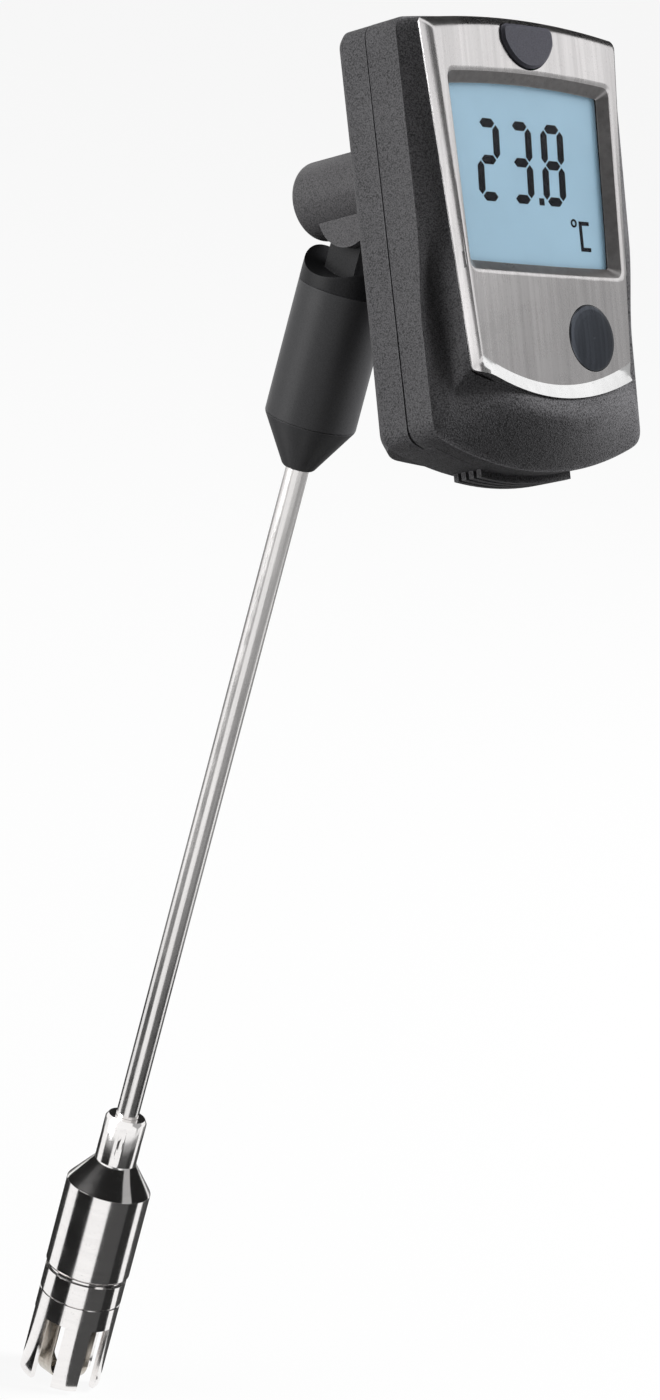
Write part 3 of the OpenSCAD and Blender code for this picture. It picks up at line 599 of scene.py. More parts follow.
@dataclass(frozen=True)
class Outline:
    """A shield outline in millimetres: a trapezium with curved ends and round corners."""

    half_top: float
    half_low: float
    top: float
    low: float
    top_rise: float = 1.3
    low_rise: float = 3.3
    corner: float = 0.5

    def points(self, ends: int = 40, sides: int = 40, corners: int = 8) -> list[Plane]:
        """Walks round the outline with a fixed number of points on each stretch.

        Args:
            ends: Steps along the top and along the bottom.
            sides: Steps down each side.
            corners: Steps round each corner.

        Returns:
            Points from the middle of the top, clockwise as one faces the display.
        """
        top_corner = Vector((self.half_top, self.top - self.top_rise))
        low_corner = Vector((self.half_low, self.low + self.low_rise))
        cut = (low_corner - top_corner).normalized() * self.corner
        side_top, side_low = top_corner + cut, low_corner - cut
        top_end, low_end = self.half_top - self.corner, self.half_low - self.corner
        steps = ends // 2

        def on_top(x: float) -> Plane:
            return (x, self.top - self.top_rise * (x / self.half_top) ** 2)

        def on_low(x: float) -> Plane:
            return (x, self.low + self.low_rise * (x / self.half_low) ** 2)

        shares = [i / corners for i in range(corners)]
        start, stop = Vector(on_top(top_end)), Vector(on_low(low_end))
        half = [on_top(top_end * i / steps) for i in range(steps)]
        half += [tuple(curve(start, top_corner, side_top, share)) for share in shares]
        half += [tuple(side_top.lerp(side_low, i / sides)) for i in range(sides)]
        half += [tuple(curve(side_low, low_corner, stop, share)) for share in shares]
        half += [on_low(low_end * (1.0 - i / steps)) for i in range(steps)]
        half.append((0.0, self.low))
        return half + [(-x, z) for x, z in reversed(half[1:-1])]

    def at(self, depth: float, *steps: int) -> Ring:
        """Lays the outline at one depth.

        Args:
            depth: The depth.
            steps: Steps on the ends, the sides and the corners.

        Returns:
            The ring's x, depth and z.
        """
        return [(x, depth, z) for x, z in self.points(*steps)]

    def drawn_in(self, by: float, least: float) -> Outline:
        """Draws the outline in.

        Args:
            by: How far.
            least: Size below which no corner goes.

        Returns:
            The smaller outline.
        """
        half_top, half_low = self.half_top - by, self.half_low - by
        top, low, corner = self.top - by, self.low + by, max(least, self.corner - by)
        return replace(self, half_top=half_top, half_low=half_low, top=top, low=low, corner=corner)


@dataclass
class HeadFrame:
    """The tilted display head's own frame: x across, depth in front of the pin, z up the face."""

    pin_m: Vector
    tilt_deg: float = HEAD_TILT_DEG

    def matrix(self) -> Matrix:
        """Gives the matrix from the head's frame to the row frame.

        Returns:
            The matrix.
        """
        return Matrix.Translation(self.pin_m) @ Matrix.Rotation(math.radians(-self.tilt_deg), 4, "X")

    def place(self, x: float, depth: float, z: float) -> Vector:
        """Gives the row place, in metres, of a head place in millimetres.

        Args:
            x: To the right, as one faces the display.
            depth: In front of the pin.
            z: Up the face.

        Returns:
            The place.
        """
        return self.matrix() @ Vector((x * MM, -depth * MM, z * MM))

    def skin(self, name: str, rings: Sequence[Ring], looped: bool) -> Object:
        """Skins a stack of closed rings that have the same number of points.

        Args:
            name: Name of the object.
            rings: Rings of x, depth and z.
            looped: Whether the last ring joins the first; otherwise both ends are capped.

        Returns:
            The closed object, with its normals outward.
        """
        shape = bmesh.new()
        rows = [[shape.verts.new(self.place(*point)) for point in ring] for ring in rings]
        pairs = list(zip(rows, rows[1:]))
        if looped:
            pairs.append((rows[-1], rows[0]))
        for first, second in pairs:
            count = len(first)
            for i in range(count):
                j = (i + 1) % count
                shape.faces.new((first[i], first[j], second[j], second[i]))
        if not looped:
            shape.faces.new(list(reversed(rows[0])))
            shape.faces.new(rows[-1])
        bmesh.ops.recalc_face_normals(shape, faces=shape.faces)
        mesh = bpy.data.meshes.new(name)
        shape.to_mesh(mesh)
        shape.free()
        return object_from(name, mesh)


def object_from(name: str, mesh: Mesh) -> Object:
    """Puts a mesh in the scene.

    Args:
        name: Name of the object.
        mesh: The mesh.

    Returns:
        The object.
    """
    made = bpy.data.objects.new(name, mesh)
    bpy.context.scene.collection.objects.link(made)
    return made


def settle(piece: Object) -> None:
    """Applies a piece's modifiers to its mesh.

    Args:
        piece: The piece.
    """
    bpy.context.view_layer.update()
    graph = bpy.context.evaluated_depsgraph_get()
    mesh = bpy.data.meshes.new_from_object(piece.evaluated_get(graph))
    piece.modifiers.clear()
    old, piece.data = piece.data, mesh
    mesh.name = piece.name
    bpy.data.meshes.remove(old)


def shade_by_angle(piece: Object, limit_deg: float, broad_mm2: float = math.inf) -> None:
    """Smooths a piece's shading except across edges sharper than a limit.

    Args:
        piece: The piece.
        limit_deg: Edges sharper than this stay crisp.
        broad_mm2: Faces larger than this stay flat.
    """
    limit = math.radians(limit_deg)
    shape = bmesh.new()
    shape.from_mesh(piece.data)
    for edge in shape.edges:
        edge.smooth = not (len(edge.link_faces) == 2 and edge.calc_face_angle(0.0) > limit)
    for face in shape.faces:
        face.smooth = face.calc_area() < broad_mm2 * MM * MM
    shape.to_mesh(piece.data)
    shape.free()


@dataclass
class Workshop:
    """Holds the loaded frame and does what every sub-assembly needs."""

    frame: dict[str, Any]
    slots: dict[str, str] = field(init=False)
    weld_m: float = 0.000002
    flat_deg: float = 0.6
    crisp_deg: float = 32.0
    round_steps: int = 2

    def __post_init__(self) -> None:
        """Reads each node's material slot from the record."""
        rows = self.frame["record"]["subparts"]
        self.slots = {row["node"]: row.get("material_slot", row["node"]) for row in rows}

    def dress(self, finishes: dict[str, Finish]) -> None:
        """Gives nodes of the frame their finishes.

        Args:
            finishes: Name of each node to its finish.
        """
        for node, finish in finishes.items():
            materials = self.frame["nodes"][node].data.materials
            materials.clear()
            materials.append(finish.material())
            LOG.info("%s keeps its solid, in %s", node, finish.name)

    def stand_in(self, piece: Object, node: str, body: Body, finish: Finish) -> None:
        """Sets a modelled piece in place of a node.

        Args:
            piece: The modelled piece, in place.
            node: The node that it stands for.
            body: The body that it rides on.
            finish: Its finish.
        """
        piece.data.materials.clear()
        piece.data.materials.append(finish.material())
        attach(piece, body.value)
        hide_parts(node)
        LOG.info("%s stands for %s, in %s", piece.name, node, finish.name)

    def soften(self, node: str, body: Body, finish: Finish, width_mm: float) -> None:
        """Copies a node's solid, rounds its edges and sets the copy in its place.

        Args:
            node: Name of the node.
            body: The body that it rides on.
            finish: Its finish.
            width_mm: Width of the rounding.
        """
        mesh = self.frame["nodes"][node].data.copy()
        if mesh.has_custom_normals:
            mesh.attributes.remove(mesh.attributes["custom_normal"])
        shape = bmesh.new()
        shape.from_mesh(mesh)
        bmesh.ops.remove_doubles(shape, verts=shape.verts, dist=self.weld_m)
        flat = math.radians(self.flat_deg)
        bmesh.ops.dissolve_limit(
            shape, angle_limit=flat, verts=shape.verts, edges=shape.edges, use_dissolve_boundaries=False
        )
        shape.to_mesh(mesh)
        shape.free()
        piece = object_from(node + "_finished", mesh)
        shade_by_angle(piece, self.crisp_deg)
        rounding = piece.modifiers.new("rounding", "BEVEL")
        rounding.width = width_mm * MM
        rounding.segments = self.round_steps
        rounding.limit_method = "ANGLE"
        rounding.angle_limit = math.radians(self.crisp_deg)
        rounding.use_clamp_overlap = True
        rounding.harden_normals = True
        settle(piece)
        self.stand_in(piece, node, body, finish)


@dataclass
class FrontShell:
    """The front half of the case: rim, side ledges, pod and nose, skinned over its outlines, in millimetres.

    An edge's pairs are a depth from its face and how far the outline is drawn in there. A fall's pair is the
    heights where it begins and ends.
    """

    head: HeadFrame
    outer: Outline = Outline(20.9, 20.0, 19.4, -38.7, 1.3, 4.3, 1.9)
    plate: Outline = Outline(18.6, 14.95, 19.1, -30.0)
    groove: Outline = Outline(18.3, 14.65, 18.8, -29.7)
    seat: Outline = Outline(17.6, 14.0, 18.5, -28.9)
    hollow: Outline = Outline(16.0, 12.4, 18.35, -27.4)
    least_corner: float = 0.4
    seam: float = 22.0
    seam_edge: tuple[Plane, ...] = ((0.0, 0.35), (0.08, 0.1), (0.3, 0.0))
    rim: float = 27.4
    rim_low: float = 26.4
    rim_fall: Plane = (-8.0, -21.0)
    rim_edge: tuple[Plane, ...] = ((2.4, 0.0), (0.35, 0.0), (0.1, 0.07))
    rim_inset: float = 0.3
    plate_edge: float = 29.05
    lip_depth: float = 30.85
    lip_fall: Plane = (-26.6, -29.7)
    groove_drop: float = 0.15
    seat_stand: float = 0.2
    hollow_drops: Plane = (0.8, 1.6)
    wall: float = 1.3
    roof_inset: float = 3.2
    roof_t: float = 0.4
    ledge_share: float = 0.12
    ledge_gains: tuple[Place, ...] = ((0.6, -7.0, -20.0), (0.15, -19.0, -26.0))
    ledge_fall: Plane = (-8.0, -17.0)
    nose_fall: Plane = (-26.0, -33.0)
    crest_half: float = 16.76
    crest_depth: float = 32.0
    crest_bow: float = 4.5
    crest_z: float = -32.1
    crest_lift: float = 3.8
    bulge: float = 0.5
    slope_steps: tuple[float, ...] = (0.0, 0.07, 0.22, 0.4, 0.57, 0.72, 0.86)
    bend_steps: tuple[float, ...] = (0.25, 0.5, 0.75)
    cove_steps: tuple[float, ...] = (0.4, 0.7, 1.0)
    crisp_deg: float = 34.0

    def rim_at(self, z: float) -> float:
        """Gives the depth of the rim's front edge.

        Args:
            z: Height of the place.

        Returns:
            The depth there.
        """
        return self.rim + (self.rim_low - self.rim) * ease(*self.rim_fall, z)

    def ledge(self, outer: Vector, inner: Vector) -> Vector:
        """Gives the foot of the pod beside the plate, where the flat ledge of the rim ends.

        Args:
            outer: The rim's edge, as x, depth and z.
            inner: The matching point of the plate's edge.

        Returns:
            The foot's x, depth and z.
        """
        share = self.ledge_share
        for gain, high, low in self.ledge_gains:
            share += gain * ease(high, low, outer.z)
        foot = outer.lerp(inner, share)
        foot.y += (outer.y - foot.y) * ease(*self.ledge_fall, outer.z)
        return foot

    def crest(self, outer: Vector) -> Vector:
        """Gives the crest of the nose that belongs to a point of the rim's edge.

        Args:
            outer: The rim's edge, as x, depth and z.

        Returns:
            The crest's x, depth and z.
        """
        t = max(-1.0, min(1.0, outer.x / self.outer.half_low))
        depth = self.crest_depth - self.crest_bow * t * t
        return Vector((self.crest_half * t, depth, self.crest_z + self.crest_lift * t * t))

    def profile(self, outer: Plane, inner: Plane) -> Ring:
        """Works out the sculpted front from the rim's edge to the plate's edge.

        Args:
            outer: A point of the rim's outline.
            inner: The matching point of the plate's outline.

        Returns:
            The points' x, depth and z.
        """
        start = Vector((outer[0], self.rim_at(outer[1]), outer[1]))
        lip = ease(*self.lip_fall, inner[1])
        stop = Vector((inner[0], self.plate_edge + (self.lip_depth - self.plate_edge) * lip, inner[1]))
        nose = ease(*self.nose_fall, outer[1])
        bend = self.ledge(start, stop).lerp(self.crest(start), nose)
        made = []
        for u in self.slope_steps:
            point = start.lerp(bend, u)
            bow = 4.0 * u * (1.0 - u)  # 1 in the middle, 0 at both ends
            point.y += self.bulge * nose * bow
            made.append(point)
        first, last = made[-1], bend.lerp(stop, self.cove_steps[0])
        made += [curve(first, bend, last, t) for t in self.bend_steps]
        made += [bend.lerp(stop, v) for v in self.cove_steps]
        return [tuple(point) for point in made]

    def inset(self, by: float) -> Outline:
        """Draws the outer outline in.

        Args:
            by: How far.

        Returns:
            The smaller outline.
        """
        return self.outer.drawn_in(by, self.least_corner)

    def build(self) -> Object:
        """Builds the shell's closed mesh.

        Returns:
            The shell's object, not yet dressed.
        """
        rings = [self.inset(self.wall).at(self.seam)]
        rings += [self.inset(by).at(self.seam + rise) for rise, by in self.seam_edge]
        for drop, by in self.rim_edge:
            rings.append([(x, self.rim_at(z) - drop, z) for x, z in self.inset(by).points()])
        matching = zip(self.inset(self.rim_inset).points(), self.plate.points())
        rings += [list(ring) for ring in zip(*(self.profile(outer, inner) for outer, inner in matching))]
        rings.append(self.groove.at(self.plate_edge - self.groove_drop))
        rings.append(self.seat.at(self.plate_edge + self.seat_stand))
        rings += [self.hollow.at(self.plate_edge - drop) for drop in self.hollow_drops]
        roof = self.rim_low - self.wall
        rings.append(self.inset(self.roof_inset).at(roof))
        rings.append(self.inset(self.wall).at(roof - self.roof_t))
        piece = self.head.skin("front_shell_finished", rings, looped=True)
        shade_by_angle(piece, self.crisp_deg)
        return piece


@dataclass
class FacePlate:
    """The metal skin: bent sides, rolled top edge, pressed window frame and flared lower lip, in millimetres.

    The frame's pairs are a depth behind the face and how far its outline is drawn in there.
    """

    head: HeadFrame
    edge: Outline = Outline(18.55, 14.9, 19.05, -29.95, corner=0.6)
    flat: Outline = Outline(16.95, 14.1, 17.35, -28.15)
    support: Outline = Outline(16.75, 13.9, 17.15, -27.95)
    under: Outline = Outline(17.6, 14.05, 18.15, -29.1, corner=0.4)
    window: Outline = Outline(15.6, 14.65, 12.0, -14.1, 0.65, 0.1, 1.3)
    edge_depth: float = 29.1
    edge_t: float = 0.2
    face_depth: float = 30.55
    lip_depth: float = 31.28
    lip_fall: Plane = (-26.3, -27.4)
    lip_lift: float = 0.8
    plate_t: float = 0.8
    glass_depth: float = 29.22
    bevel: float = 1.5
    frame_steps: tuple[int, int, int] = (12, 4, 6)
    frame_corner: float = 0.3
    frame_foot: float = 0.75
    frame_top: Plane = (0.15, -0.7)
    frame_round: tuple[Plane, ...] = ((0.2, 0.225), (0.09, 0.06), (0.03, -0.1), (0.0, -0.3), (-0.01, -0.37))
    gap: float = 0.18
    face_slack: float = 0.6
    over: float = 1.0
    inlay_r: float = 4.35
    inlay_x: float = 7.0
    inlay_z: float = -21.9
    inlay_steps: int = 64
    roll: tuple[Plane, ...] = ((0.0, 0.0), (0.2, 0.36), (0.4, 0.64), (0.6, 0.84), (0.8, 0.96), (1.0, 1.0))
    crisp_deg: float = 20.0
    broad_mm2: float = 6.0

    def skin(self) -> list[Ring]:
        """Lays the rings from the plate's underside over its edge to the flat face.

        Returns:
            The rings of x, depth and z.
        """
        edge, flat, under = self.edge.points(), self.flat.points(), self.under.points()
        lip = [ease(*self.lip_fall, z) for _, z in edge]
        foot = self.edge_depth + self.edge_t
        rings = [self.under.at(self.face_depth - self.plate_t)]
        for outline in (under, edge):
            rings.append([(x, self.edge_depth + self.lip_lift * w, z) for (x, z), w in zip(outline, lip)])
        for share, rise in self.roll:
            ring = []
            for (x, z), (flat_x, flat_z), w in zip(edge, flat, lip):
                start = foot + (self.lip_depth - foot) * w
                depth = start + (self.face_depth - start) * (rise + (share - rise) * w)
                ring.append((x + (flat_x - x) * share, depth, z + (flat_z - z) * share))
            rings.append(ring)
        rings.append(self.support.at(self.face_depth))
        return rings

    def frame_rings(self, pairs: Sequence[Plane]) -> list[Ring]:
        """Lays rings of the window frame's outline.

        Args:
            pairs: The depth of each ring and how far it is drawn in.

        Returns:
            The rings of x, depth and z.
        """
        corner, steps = self.frame_corner, self.frame_steps
        return [self.window.drawn_in(by, corner).at(depth, *steps) for depth, by in pairs]

    def through(self, outline: Sequence[Plane]) -> list[Ring]:
        """Lays an outline on both sides of the face, for a cut right through it.

        Args:
            outline: The outline's x and z.

        Returns:
            The two rings of x, depth and z.
        """
        depths = (self.glass_depth - self.over, self.face_depth + self.over)
        return [[(x, depth, z) for x, z in outline] for depth in depths]

    def button_outline(self, button: Object) -> list[Plane]:
        """Works out the hole round the mode button from the button's own outline.

        Args:
            button: The button's node.

        Returns:
            The hole's x and z.
        """
        back = self.head.matrix().inverted() @ button.matrix_world
        spots = [back @ vertex.co / MM for vertex in button.data.vertices]
        front = max(-spot.y for spot in spots)
        face = [Vector((spot.x, spot.z)) for spot in spots if -spot.y > front - self.face_slack]
        hull = [face[i] for i in geometry.convex_hull_2d(face)]
        middle = sum(hull, Vector((0.0, 0.0))) / len(hull)
        return [tuple(spot + (spot - middle).normalized() * self.gap) for spot in hull]

    def seat_outline(self) -> list[Plane]:
        """Gives the round seat of the inlay.

        Returns:
            The seat's x and z.
        """
        turns = [math.tau * i / self.inlay_steps for i in range(self.inlay_steps)]
        r = self.inlay_r
        return [(self.inlay_x + r * math.cos(turn), self.inlay_z + r * math.sin(turn)) for turn in turns]

    def build(self, button: Object) -> Object:
        """Builds the plate's closed mesh.

        Args:
            button: The mode button's node, which the hole follows.

        Returns:
            The plate's object, not yet dressed.
        """
        plate = self.head.skin("faceplate_finished", self.skin(), looped=False)
        top_drop, top_by = self.frame_top
        pressed = [(self.glass_depth, self.frame_foot), (self.face_depth - top_drop, top_by)]
        sloped = [(self.glass_depth - self.over, self.bevel), (self.glass_depth, self.bevel)]
        sloped += [(self.face_depth - drop, by) for drop, by in self.frame_round]
        changes = (
            ("frame", "UNION", self.frame_rings(pressed)),
            ("opening", "DIFFERENCE", self.frame_rings(sloped)),
            ("hole", "DIFFERENCE", self.through(self.button_outline(button))),
            ("seat", "DIFFERENCE", self.through(self.seat_outline())),
        )
        tools = []
        for name, operation, rings in changes:
            tool = self.head.skin(name, rings, looped=False)
            change = plate.modifiers.new(name, "BOOLEAN")
            change.operation = operation
            change.object = tool
            change.solver = "EXACT"
            tools.append(tool)
        settle(plate)
        for tool in tools:
            bpy.data.objects.remove(tool)
        shade_by_angle(plate, self.crisp_deg, self.broad_mm2)
        return plate


@dataclass
class DisplayHead:
    """The tilting display head and everything that rides with it."""

    shop: Workshop
    head: HeadFrame
    finishes: Finishes
    slope_lean: Plane = (0.5, 0.82)
    lip_stand: float = 1.0

    def vary_plate(self, plate: Object, skin: FacePlate) -> None:
        """Gives the flared lip a lighter steel, a painted highlight, and the window slopes a darker one,
        painted shade.

        Args:
            plate: The dressed faceplate.
            skin: The sizes it was built from.
        """
        plate.data.materials.append(self.finishes.lip.material())
        plate.data.materials.append(self.finishes.slope.material())
        painted_highlight_index, painted_shade_index = 1, 2
        flat, window = skin.flat, skin.window
        least_lean, most_lean = self.slope_lean
        back = self.head.matrix().inverted()
        for face in plate.data.polygons:
            spot = back @ face.center / MM
            depth, across = -spot.y, abs(spot.x)
            lean = -(back.to_3x3() @ face.normal).normalized().y
            crease = flat.low + flat.low_rise * (spot.x / flat.half_low) ** 2
            # Faces of the flared lip take the lighter steel, a painted highlight.
            if spot.z < crease and across < flat.half_low and depth > skin.edge_depth + self.lip_stand:
                face.material_index = painted_highlight_index
            # Faces of the window frame's slopes take the darker steel, painted shade.
            elif least_lean < lean < most_lean and window.low < spot.z < window.top:
                if across < window.half_top:
                    face.material_index = painted_shade_index

    def build(self) -> None:
        """Builds and dresses the head's pieces."""
        shop, kinds = self.shop, self.finishes
        shop.stand_in(FrontShell(self.head).build(), "front_shell", Body.HEAD, kinds.case)
        shop.soften("rear_shell", Body.HEAD, kinds.case, width_mm=0.25)
        shop.soften("battery_cover", Body.COVER, kinds.case, width_mm=0.2)
        skin = FacePlate(self.head)
        plate = skin.build(shop.frame["nodes"]["mode_button"])
        shop.stand_in(plate, "faceplate", Body.HEAD, kinds.plate)
        self.vary_plate(plate, skin)
        shop.soften("mode_button", Body.BUTTON, kinds.button, width_mm=0.15)
        shop.soften("tilt_arm", Body.HEAD, kinds.arm, width_mm=0.3)
        dressed = {
            "hinge_pin": kinds.pin,
            "friction_washers": kinds.washer,
            "arm_nut": kinds.brass,
            "round_inlay": kinds.inlay,
            "window_lens": kinds.pane,
            "display_glass": kinds.display,
            "display_segments": kinds.ink,
            "contact_strips": kinds.rubber,
            "circuit_board": kinds.board,
            "controller_chip": kinds.chip,
            "clock_crystal": kinds.can,
            "dome_switch": kinds.contact,
            "lead_terminals": kinds.contact,
            "battery_tray": kinds.tray,
            "battery_cells": kinds.cell,
            "battery_contacts": kinds.contact,
            "case_screws": kinds.pin,
        }
        shop.dress(dressed)


@dataclass
class Probe:
    """The probe: sensor head, stem and handle."""

    shop: Workshop
    finishes: Finishes

    def build(self) -> None:
        """Dresses the probe's pieces. A softened piece has the width of its rounding beside its finish."""
        kinds = self.finishes
        dressed = {
            "ceramic_core": kinds.ceramic,
            "sensor_strips": kinds.strip,
            "junction_bead": kinds.weld,
            "probe_stem": kinds.stem,
            "thermocouple_leads": kinds.wire,
        }
        self.shop.dress(dressed)
        softened = {
            "crown_sleeve": (kinds.body, 0.12),
            "sensor_body": (kinds.body, 0.12),
            "handle_cone": (kinds.handle, 0.2),
            "handle_sleeve": (kinds.handle, 0.15),
            "knuckle": (kinds.knuckle, 0.2),
        }
        for node, (finish, width) in softened.items():
            self.shop.soften(node, Body.PROBE, finish, width)


@dataclass(frozen=True)
class Softbox:
    """A rectangular lamp. Places in metres, power in watts."""

    name: str
    place: Place
    aim: Place
    width: float
    height: float
    power: float
    mirrored: bool = True


@dataclass(frozen=True)
class FloorCard:
    """A level wedge round the probe that only mirrored rays meet. Its ring is two radii. All in metres."""

    name: str
    from_deg: float
    to_deg: float
    ring: Plane
    tone: float
    height: float = -0.0003
    from_below: bool = False


@dataclass(frozen=True)
class MirrorCard:
    """A card that only mirrored rays meet, hung square to the line that a face mirrors to the camera.

    Its distance is in metres. Its outline is in millimetres to the right and down, as the face shows it,
    from where that line meets it. The face looks along x, depth and z of the head.
    """

    name: str
    distance: float
    outline: tuple[Plane, ...]
    tone: float
    facing: Place = (0.0, 1.0, 0.0)


HEAD_RING: Plane = (0.008, 0.19)
STEM_RING: Plane = (0.19, 0.6)
SHOULDER_RING: Plane = (0.0036, 0.08)


@dataclass
class Studio:
    """Camera, lamps, floor, backdrop and cards."""

    camera_place: Place = (-0.4308, -0.3996, 0.2698)
    camera_forward: Place = (0.7197, 0.6402, -0.2687)
    camera_up: Place = (0.021, 0.3668, 0.9301)
    picture_height_px: float = 1400.0
    focal_px: float = 4501.0
    sensor_mm: float = 36.0
    clip: Plane = (0.01, 20.0)
    fill: float = 0.02
    floor_r: float = 6.0
    floor_sides: int = 96
    floor_z: float = -0.0006
    floor_unseen: float = 0.2
    floor_seen: float = 0.86
    floor_glow: float = 0.97
    glow_share: float = 0.95
    wedge_steps: int = 24
    boxes: tuple[Softbox, ...] = (
        Softbox("left_box", (-0.7, 0.3, 0.2), (0.0, 0.0, 0.12), 0.5, 0.9, 8.0),
        Softbox("right_box", (0.6, -0.25, 0.6), (0.0, 0.0, 0.14), 0.3, 0.4, 15.0, False),
    )
    wedges: tuple[FloorCard, ...] = (
        FloorCard("far_left", -176.0, -117.0, HEAD_RING, 0.03),
        FloorCard("dark_left", -80.0, -30.0, HEAD_RING, 0.012),
        FloorCard("dark_middle", 17.0, 67.0, HEAD_RING, 0.07),
        FloorCard("dark_right", 67.0, 97.0, HEAD_RING, 0.025),
        FloorCard("far_right", 117.0, 176.0, HEAD_RING, 0.06),
        FloorCard("stem_far_left", -176.0, -117.0, STEM_RING, 0.22),
        FloorCard("stem_left", -80.0, -30.0, STEM_RING, 0.26),
        FloorCard("stem_middle", 17.0, 67.0, STEM_RING, 0.3),
        FloorCard("stem_right", 67.0, 97.0, STEM_RING, 0.2),
        FloorCard("stem_far_right", 117.0, 176.0, STEM_RING, 0.25),
        FloorCard("shoulder_card", 62.0, 398.0, SHOULDER_RING, 0.015, 0.034, True),
    )
    plate_middle: Place = (0.0, -0.029, 0.182)
    head_depth: Place = (0.0, -0.883, 0.469)
    head_up: Place = (0.0, 0.469, 0.883)
    cards: tuple[MirrorCard, ...] = (
        MirrorCard(
            "plate_card",
            0.08,
            ((-86, 137), (-5, -8), (40, -8), (62, -40), (80, -161), (220, -83), (54, 215)),
            0.4,
        ),
        MirrorCard("side_card", 0.1, ((-45, -45), (45, -45), (45, 45), (-45, 45)), 0.1, (-1.33, 1.5, 0.0)),
        MirrorCard(
            "roof_card",
            0.078,
            ((-60, -62), (32, -62), (44, -34), (1200, -34), (1200, -1200), (-60, -1200)),
            0.02,
        ),
    )

    def build(self) -> None:
        """Builds the whole studio."""
        self.place_camera()
        self.light_world()
        self.lay_floor()
        for box in self.boxes:
            self.hang(box)
        for wedge in self.wedges:
            self.show_to_metal(wedge.name, self.wedge_corners(wedge), wedge.tone, wedge.from_below)
        for card in self.cards:
            self.show_to_metal(card.name, self.mirror_corners(card), card.tone)
        bpy.context.scene.view_settings.view_transform = "Standard"

    def place_camera(self) -> None:
        """Puts the camera where the photograph was taken from."""
        data = bpy.data.cameras.new("camera")
        data.sensor_width = self.sensor_mm
        data.lens = self.focal_px / self.picture_height_px * self.sensor_mm
        data.clip_start, data.clip_end = self.clip
        camera = bpy.data.objects.new("camera", data)
        back = -Vector(self.camera_forward).normalized()
        right = Vector(self.camera_up).cross(back).normalized()
        up = back.cross(right)
        turn = Matrix((right, up, back)).transposed().to_4x4()
        camera.matrix_world = Matrix.Translation(self.camera_place) @ turn
        bpy.context.scene.collection.objects.link(camera)
        bpy.context.scene.camera = camera

    @staticmethod
    def bare_tree(owner: Any) -> NodeTree:
        """Empties the node tree of a new material or world.

        Args:
            owner: The material or world.

        Returns:
            Its empty tree.
        """
        owner.use_nodes = True
        owner.node_tree.nodes.clear()
        return owner.node_tree

    @staticmethod
    def seen_directly(tree: NodeTree) -> Any:
        """Adds a mask of the rays that come from the camera, a mirror or a clear pane.

        Args:
            tree: The tree that takes the nodes.

        Returns:
            The mask's socket.
        """
        path = add_node(tree, "LightPath").outputs
        seen = math_node(tree, "ADD", path["Is Camera Ray"], path["Is Glossy Ray"])
        return math_node(tree, "ADD", seen, path["Is Transmission Ray"])

    def light_world(self) -> None:
        """Makes a white backdrop for what is seen and mirrored, and a softer fill for the rest."""
        world = bpy.data.worlds.new("studio")
        bpy.context.scene.world = world
        tree = self.bare_tree(world)
        strength = remap(tree, self.seen_directly(tree), UNIT, (self.fill, 1.0))
        back = add_node(tree, "Background", {"Color": grey(1.0), "Strength": strength})
        add_node(tree, "OutputWorld", {0: back.outputs[0]})

    def lay_floor(self) -> None:
        """Lays the pale floor under the tip, white to the camera but for the object's shadow."""
        shape = bmesh.new()
        bmesh.ops.create_circle(shape, cap_ends=True, segments=self.floor_sides, radius=self.floor_r)
        mesh = bpy.data.meshes.new("floor")
        shape.to_mesh(mesh)
        shape.free()
        floor = object_from("floor", mesh)
        floor.location.z = self.floor_z
        material = bpy.data.materials.new("floor_white")
        tree = self.bare_tree(material)
        seen = self.seen_directly(tree)
        tint = mix_colours(tree, seen, grey(self.floor_unseen), grey(self.floor_seen))
        plain = add_node(tree, "BsdfDiffuse", {"Color": tint})
        glow = add_node(tree, "Emission", {"Color": grey(1.0), "Strength": self.floor_glow})
        share = remap(tree, seen, UNIT, (0.0, self.glow_share))
        mixed = add_node(tree, "MixShader", {0: share, 1: plain.outputs[0], 2: glow.outputs[0]})
        add_node(tree, "OutputMaterial", {0: mixed.outputs[0]})
        mesh.materials.append(material)

    def hang(self, box: Softbox) -> None:
        """Hangs one lamp.

        Args:
            box: The lamp.
        """
        data = bpy.data.lights.new(box.name, "AREA")
        data.shape = "RECTANGLE"
        data.size, data.size_y = box.width, box.height
        data.energy = box.power
        lamp = bpy.data.objects.new(box.name, data)
        lamp.location = box.place
        aim = Vector(box.aim) - Vector(box.place)
        lamp.rotation_mode = "QUATERNION"
        lamp.rotation_quaternion = aim.to_track_quat("-Z", "Y")
        lamp.visible_camera = False
        lamp.visible_glossy = box.mirrored
        lamp.visible_transmission = False
        bpy.context.scene.collection.objects.link(lamp)

    def wedge_corners(self, wedge: FloorCard) -> list[Place]:
        """Gives the outline of a wedge, whose angles count from the camera's side.

        Args:
            wedge: The wedge.

        Returns:
            Its corners, round the outline.
        """
        toward = Vector((self.camera_place[0], self.camera_place[1], 0.0)).normalized()
        steps = self.wedge_steps
        angles = [wedge.from_deg + (wedge.to_deg - wedge.from_deg) * i / steps for i in range(steps + 1)]
        rays = [Matrix.Rotation(math.radians(angle), 3, "Z") @ toward for angle in angles]
        lift = Vector((0.0, 0.0, wedge.height))
        near, far = wedge.ring
        inner = [tuple(ray * near + lift) for ray in rays]
        outer = [tuple(ray * far + lift) for ray in rays]
        return inner + outer[::-1]

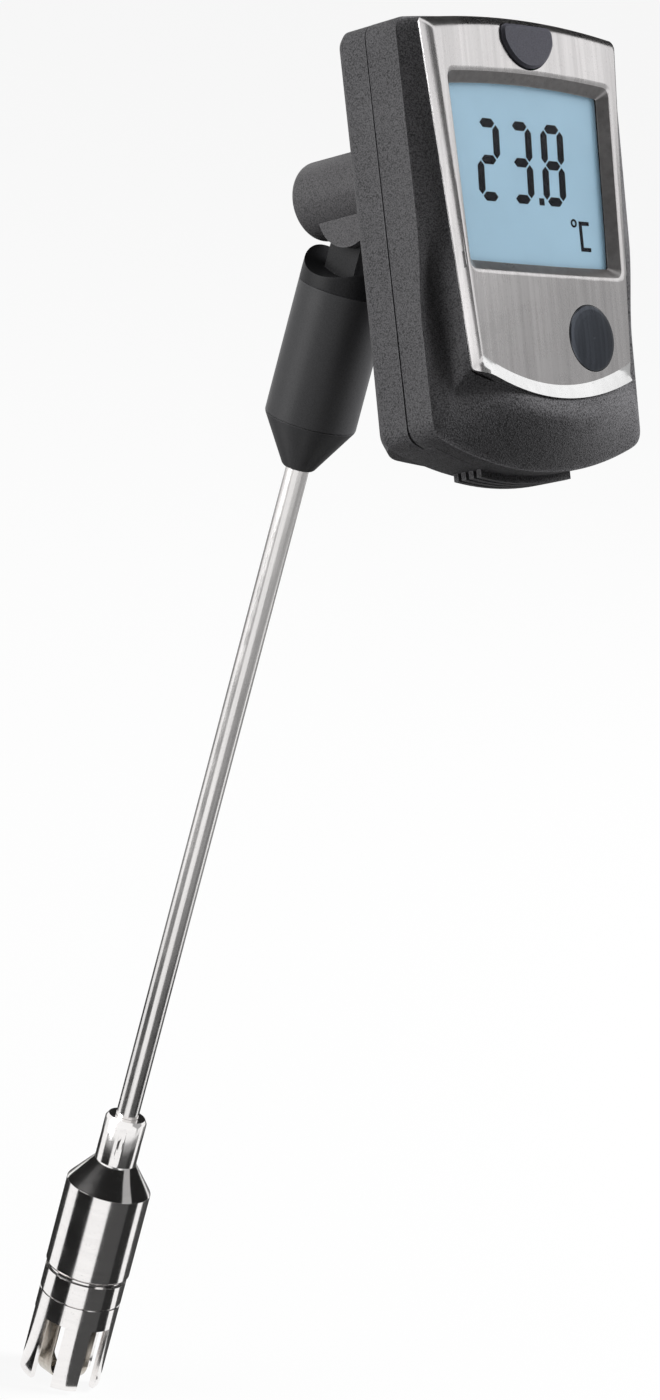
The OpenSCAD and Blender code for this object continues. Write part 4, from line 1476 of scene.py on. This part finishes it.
    def mirror_corners(self, card: MirrorCard) -> list[Place]:
        """Places a mirror card's outline.

        Args:
            card: The card.

        Returns:
            Its corners, in metres.
        """
        middle = Vector(self.plate_middle)
        side, depth, rise = card.facing
        normal = Vector((side, 0.0, 0.0)) + Vector(self.head_depth) * depth + Vector(self.head_up) * rise
        normal.normalize()
        view = (Vector(self.camera_place) - middle).normalized()
        mirrored = normal * (2.0 * normal.dot(view)) - view
        across = Vector((1.0, 0.0, 0.0))
        right = (across - mirrored * across.dot(mirrored)).normalized()
        down = right.cross(mirrored)
        centre = middle + mirrored * card.distance
        return [tuple(centre + (right * u + down * v) * MM) for u, v in card.outline]

    def show_to_metal(self, name: str, corners: Sequence[Place], tone: float, below: bool = False) -> None:
        """Makes a flat card that only mirrored rays meet.

        Args:
            name: Name of the card.
            corners: Its corners, round the outline.
            tone: How bright it looks, from 0 to 1.
            below: Whether only its front, which looks down, is there to be met.
        """
        mesh = bpy.data.meshes.new(name)
        mesh.from_pydata(corners, [], [tuple(range(len(corners)))])
        material = bpy.data.materials.new(name)
        tree = self.bare_tree(material)
        shown = add_node(tree, "Emission", {"Color": grey(tone), "Strength": 1.0}).outputs[0]
        if below:
            back = add_node(tree, "NewGeometry").outputs["Backfacing"]
            clear = add_node(tree, "BsdfTransparent").outputs[0]
            shown = add_node(tree, "MixShader", {0: back, 1: shown, 2: clear}).outputs[0]
        add_node(tree, "OutputMaterial", {0: shown})
        mesh.materials.append(material)
        card = object_from(name, mesh)
        for rays in ("camera", "shadow", "diffuse", "transmission"):
            setattr(card, "visible_" + rays, False)


def main() -> None:
    """Builds the classes in order around the loaded frame."""
    logging.basicConfig(level=logging.INFO, format="%(message)s")
    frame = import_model()
    finishes = Finishes()
    shop = Workshop(frame)
    joints = {joint["name"]: joint for joint in frame["joints"]}
    head = HeadFrame(Vector(joints["head_tilt"]["pos_m"]))
    Studio().build()
    Probe(shop, finishes).build()
    DisplayHead(shop, head, finishes).build()


if __name__ == "__main__":
    main()
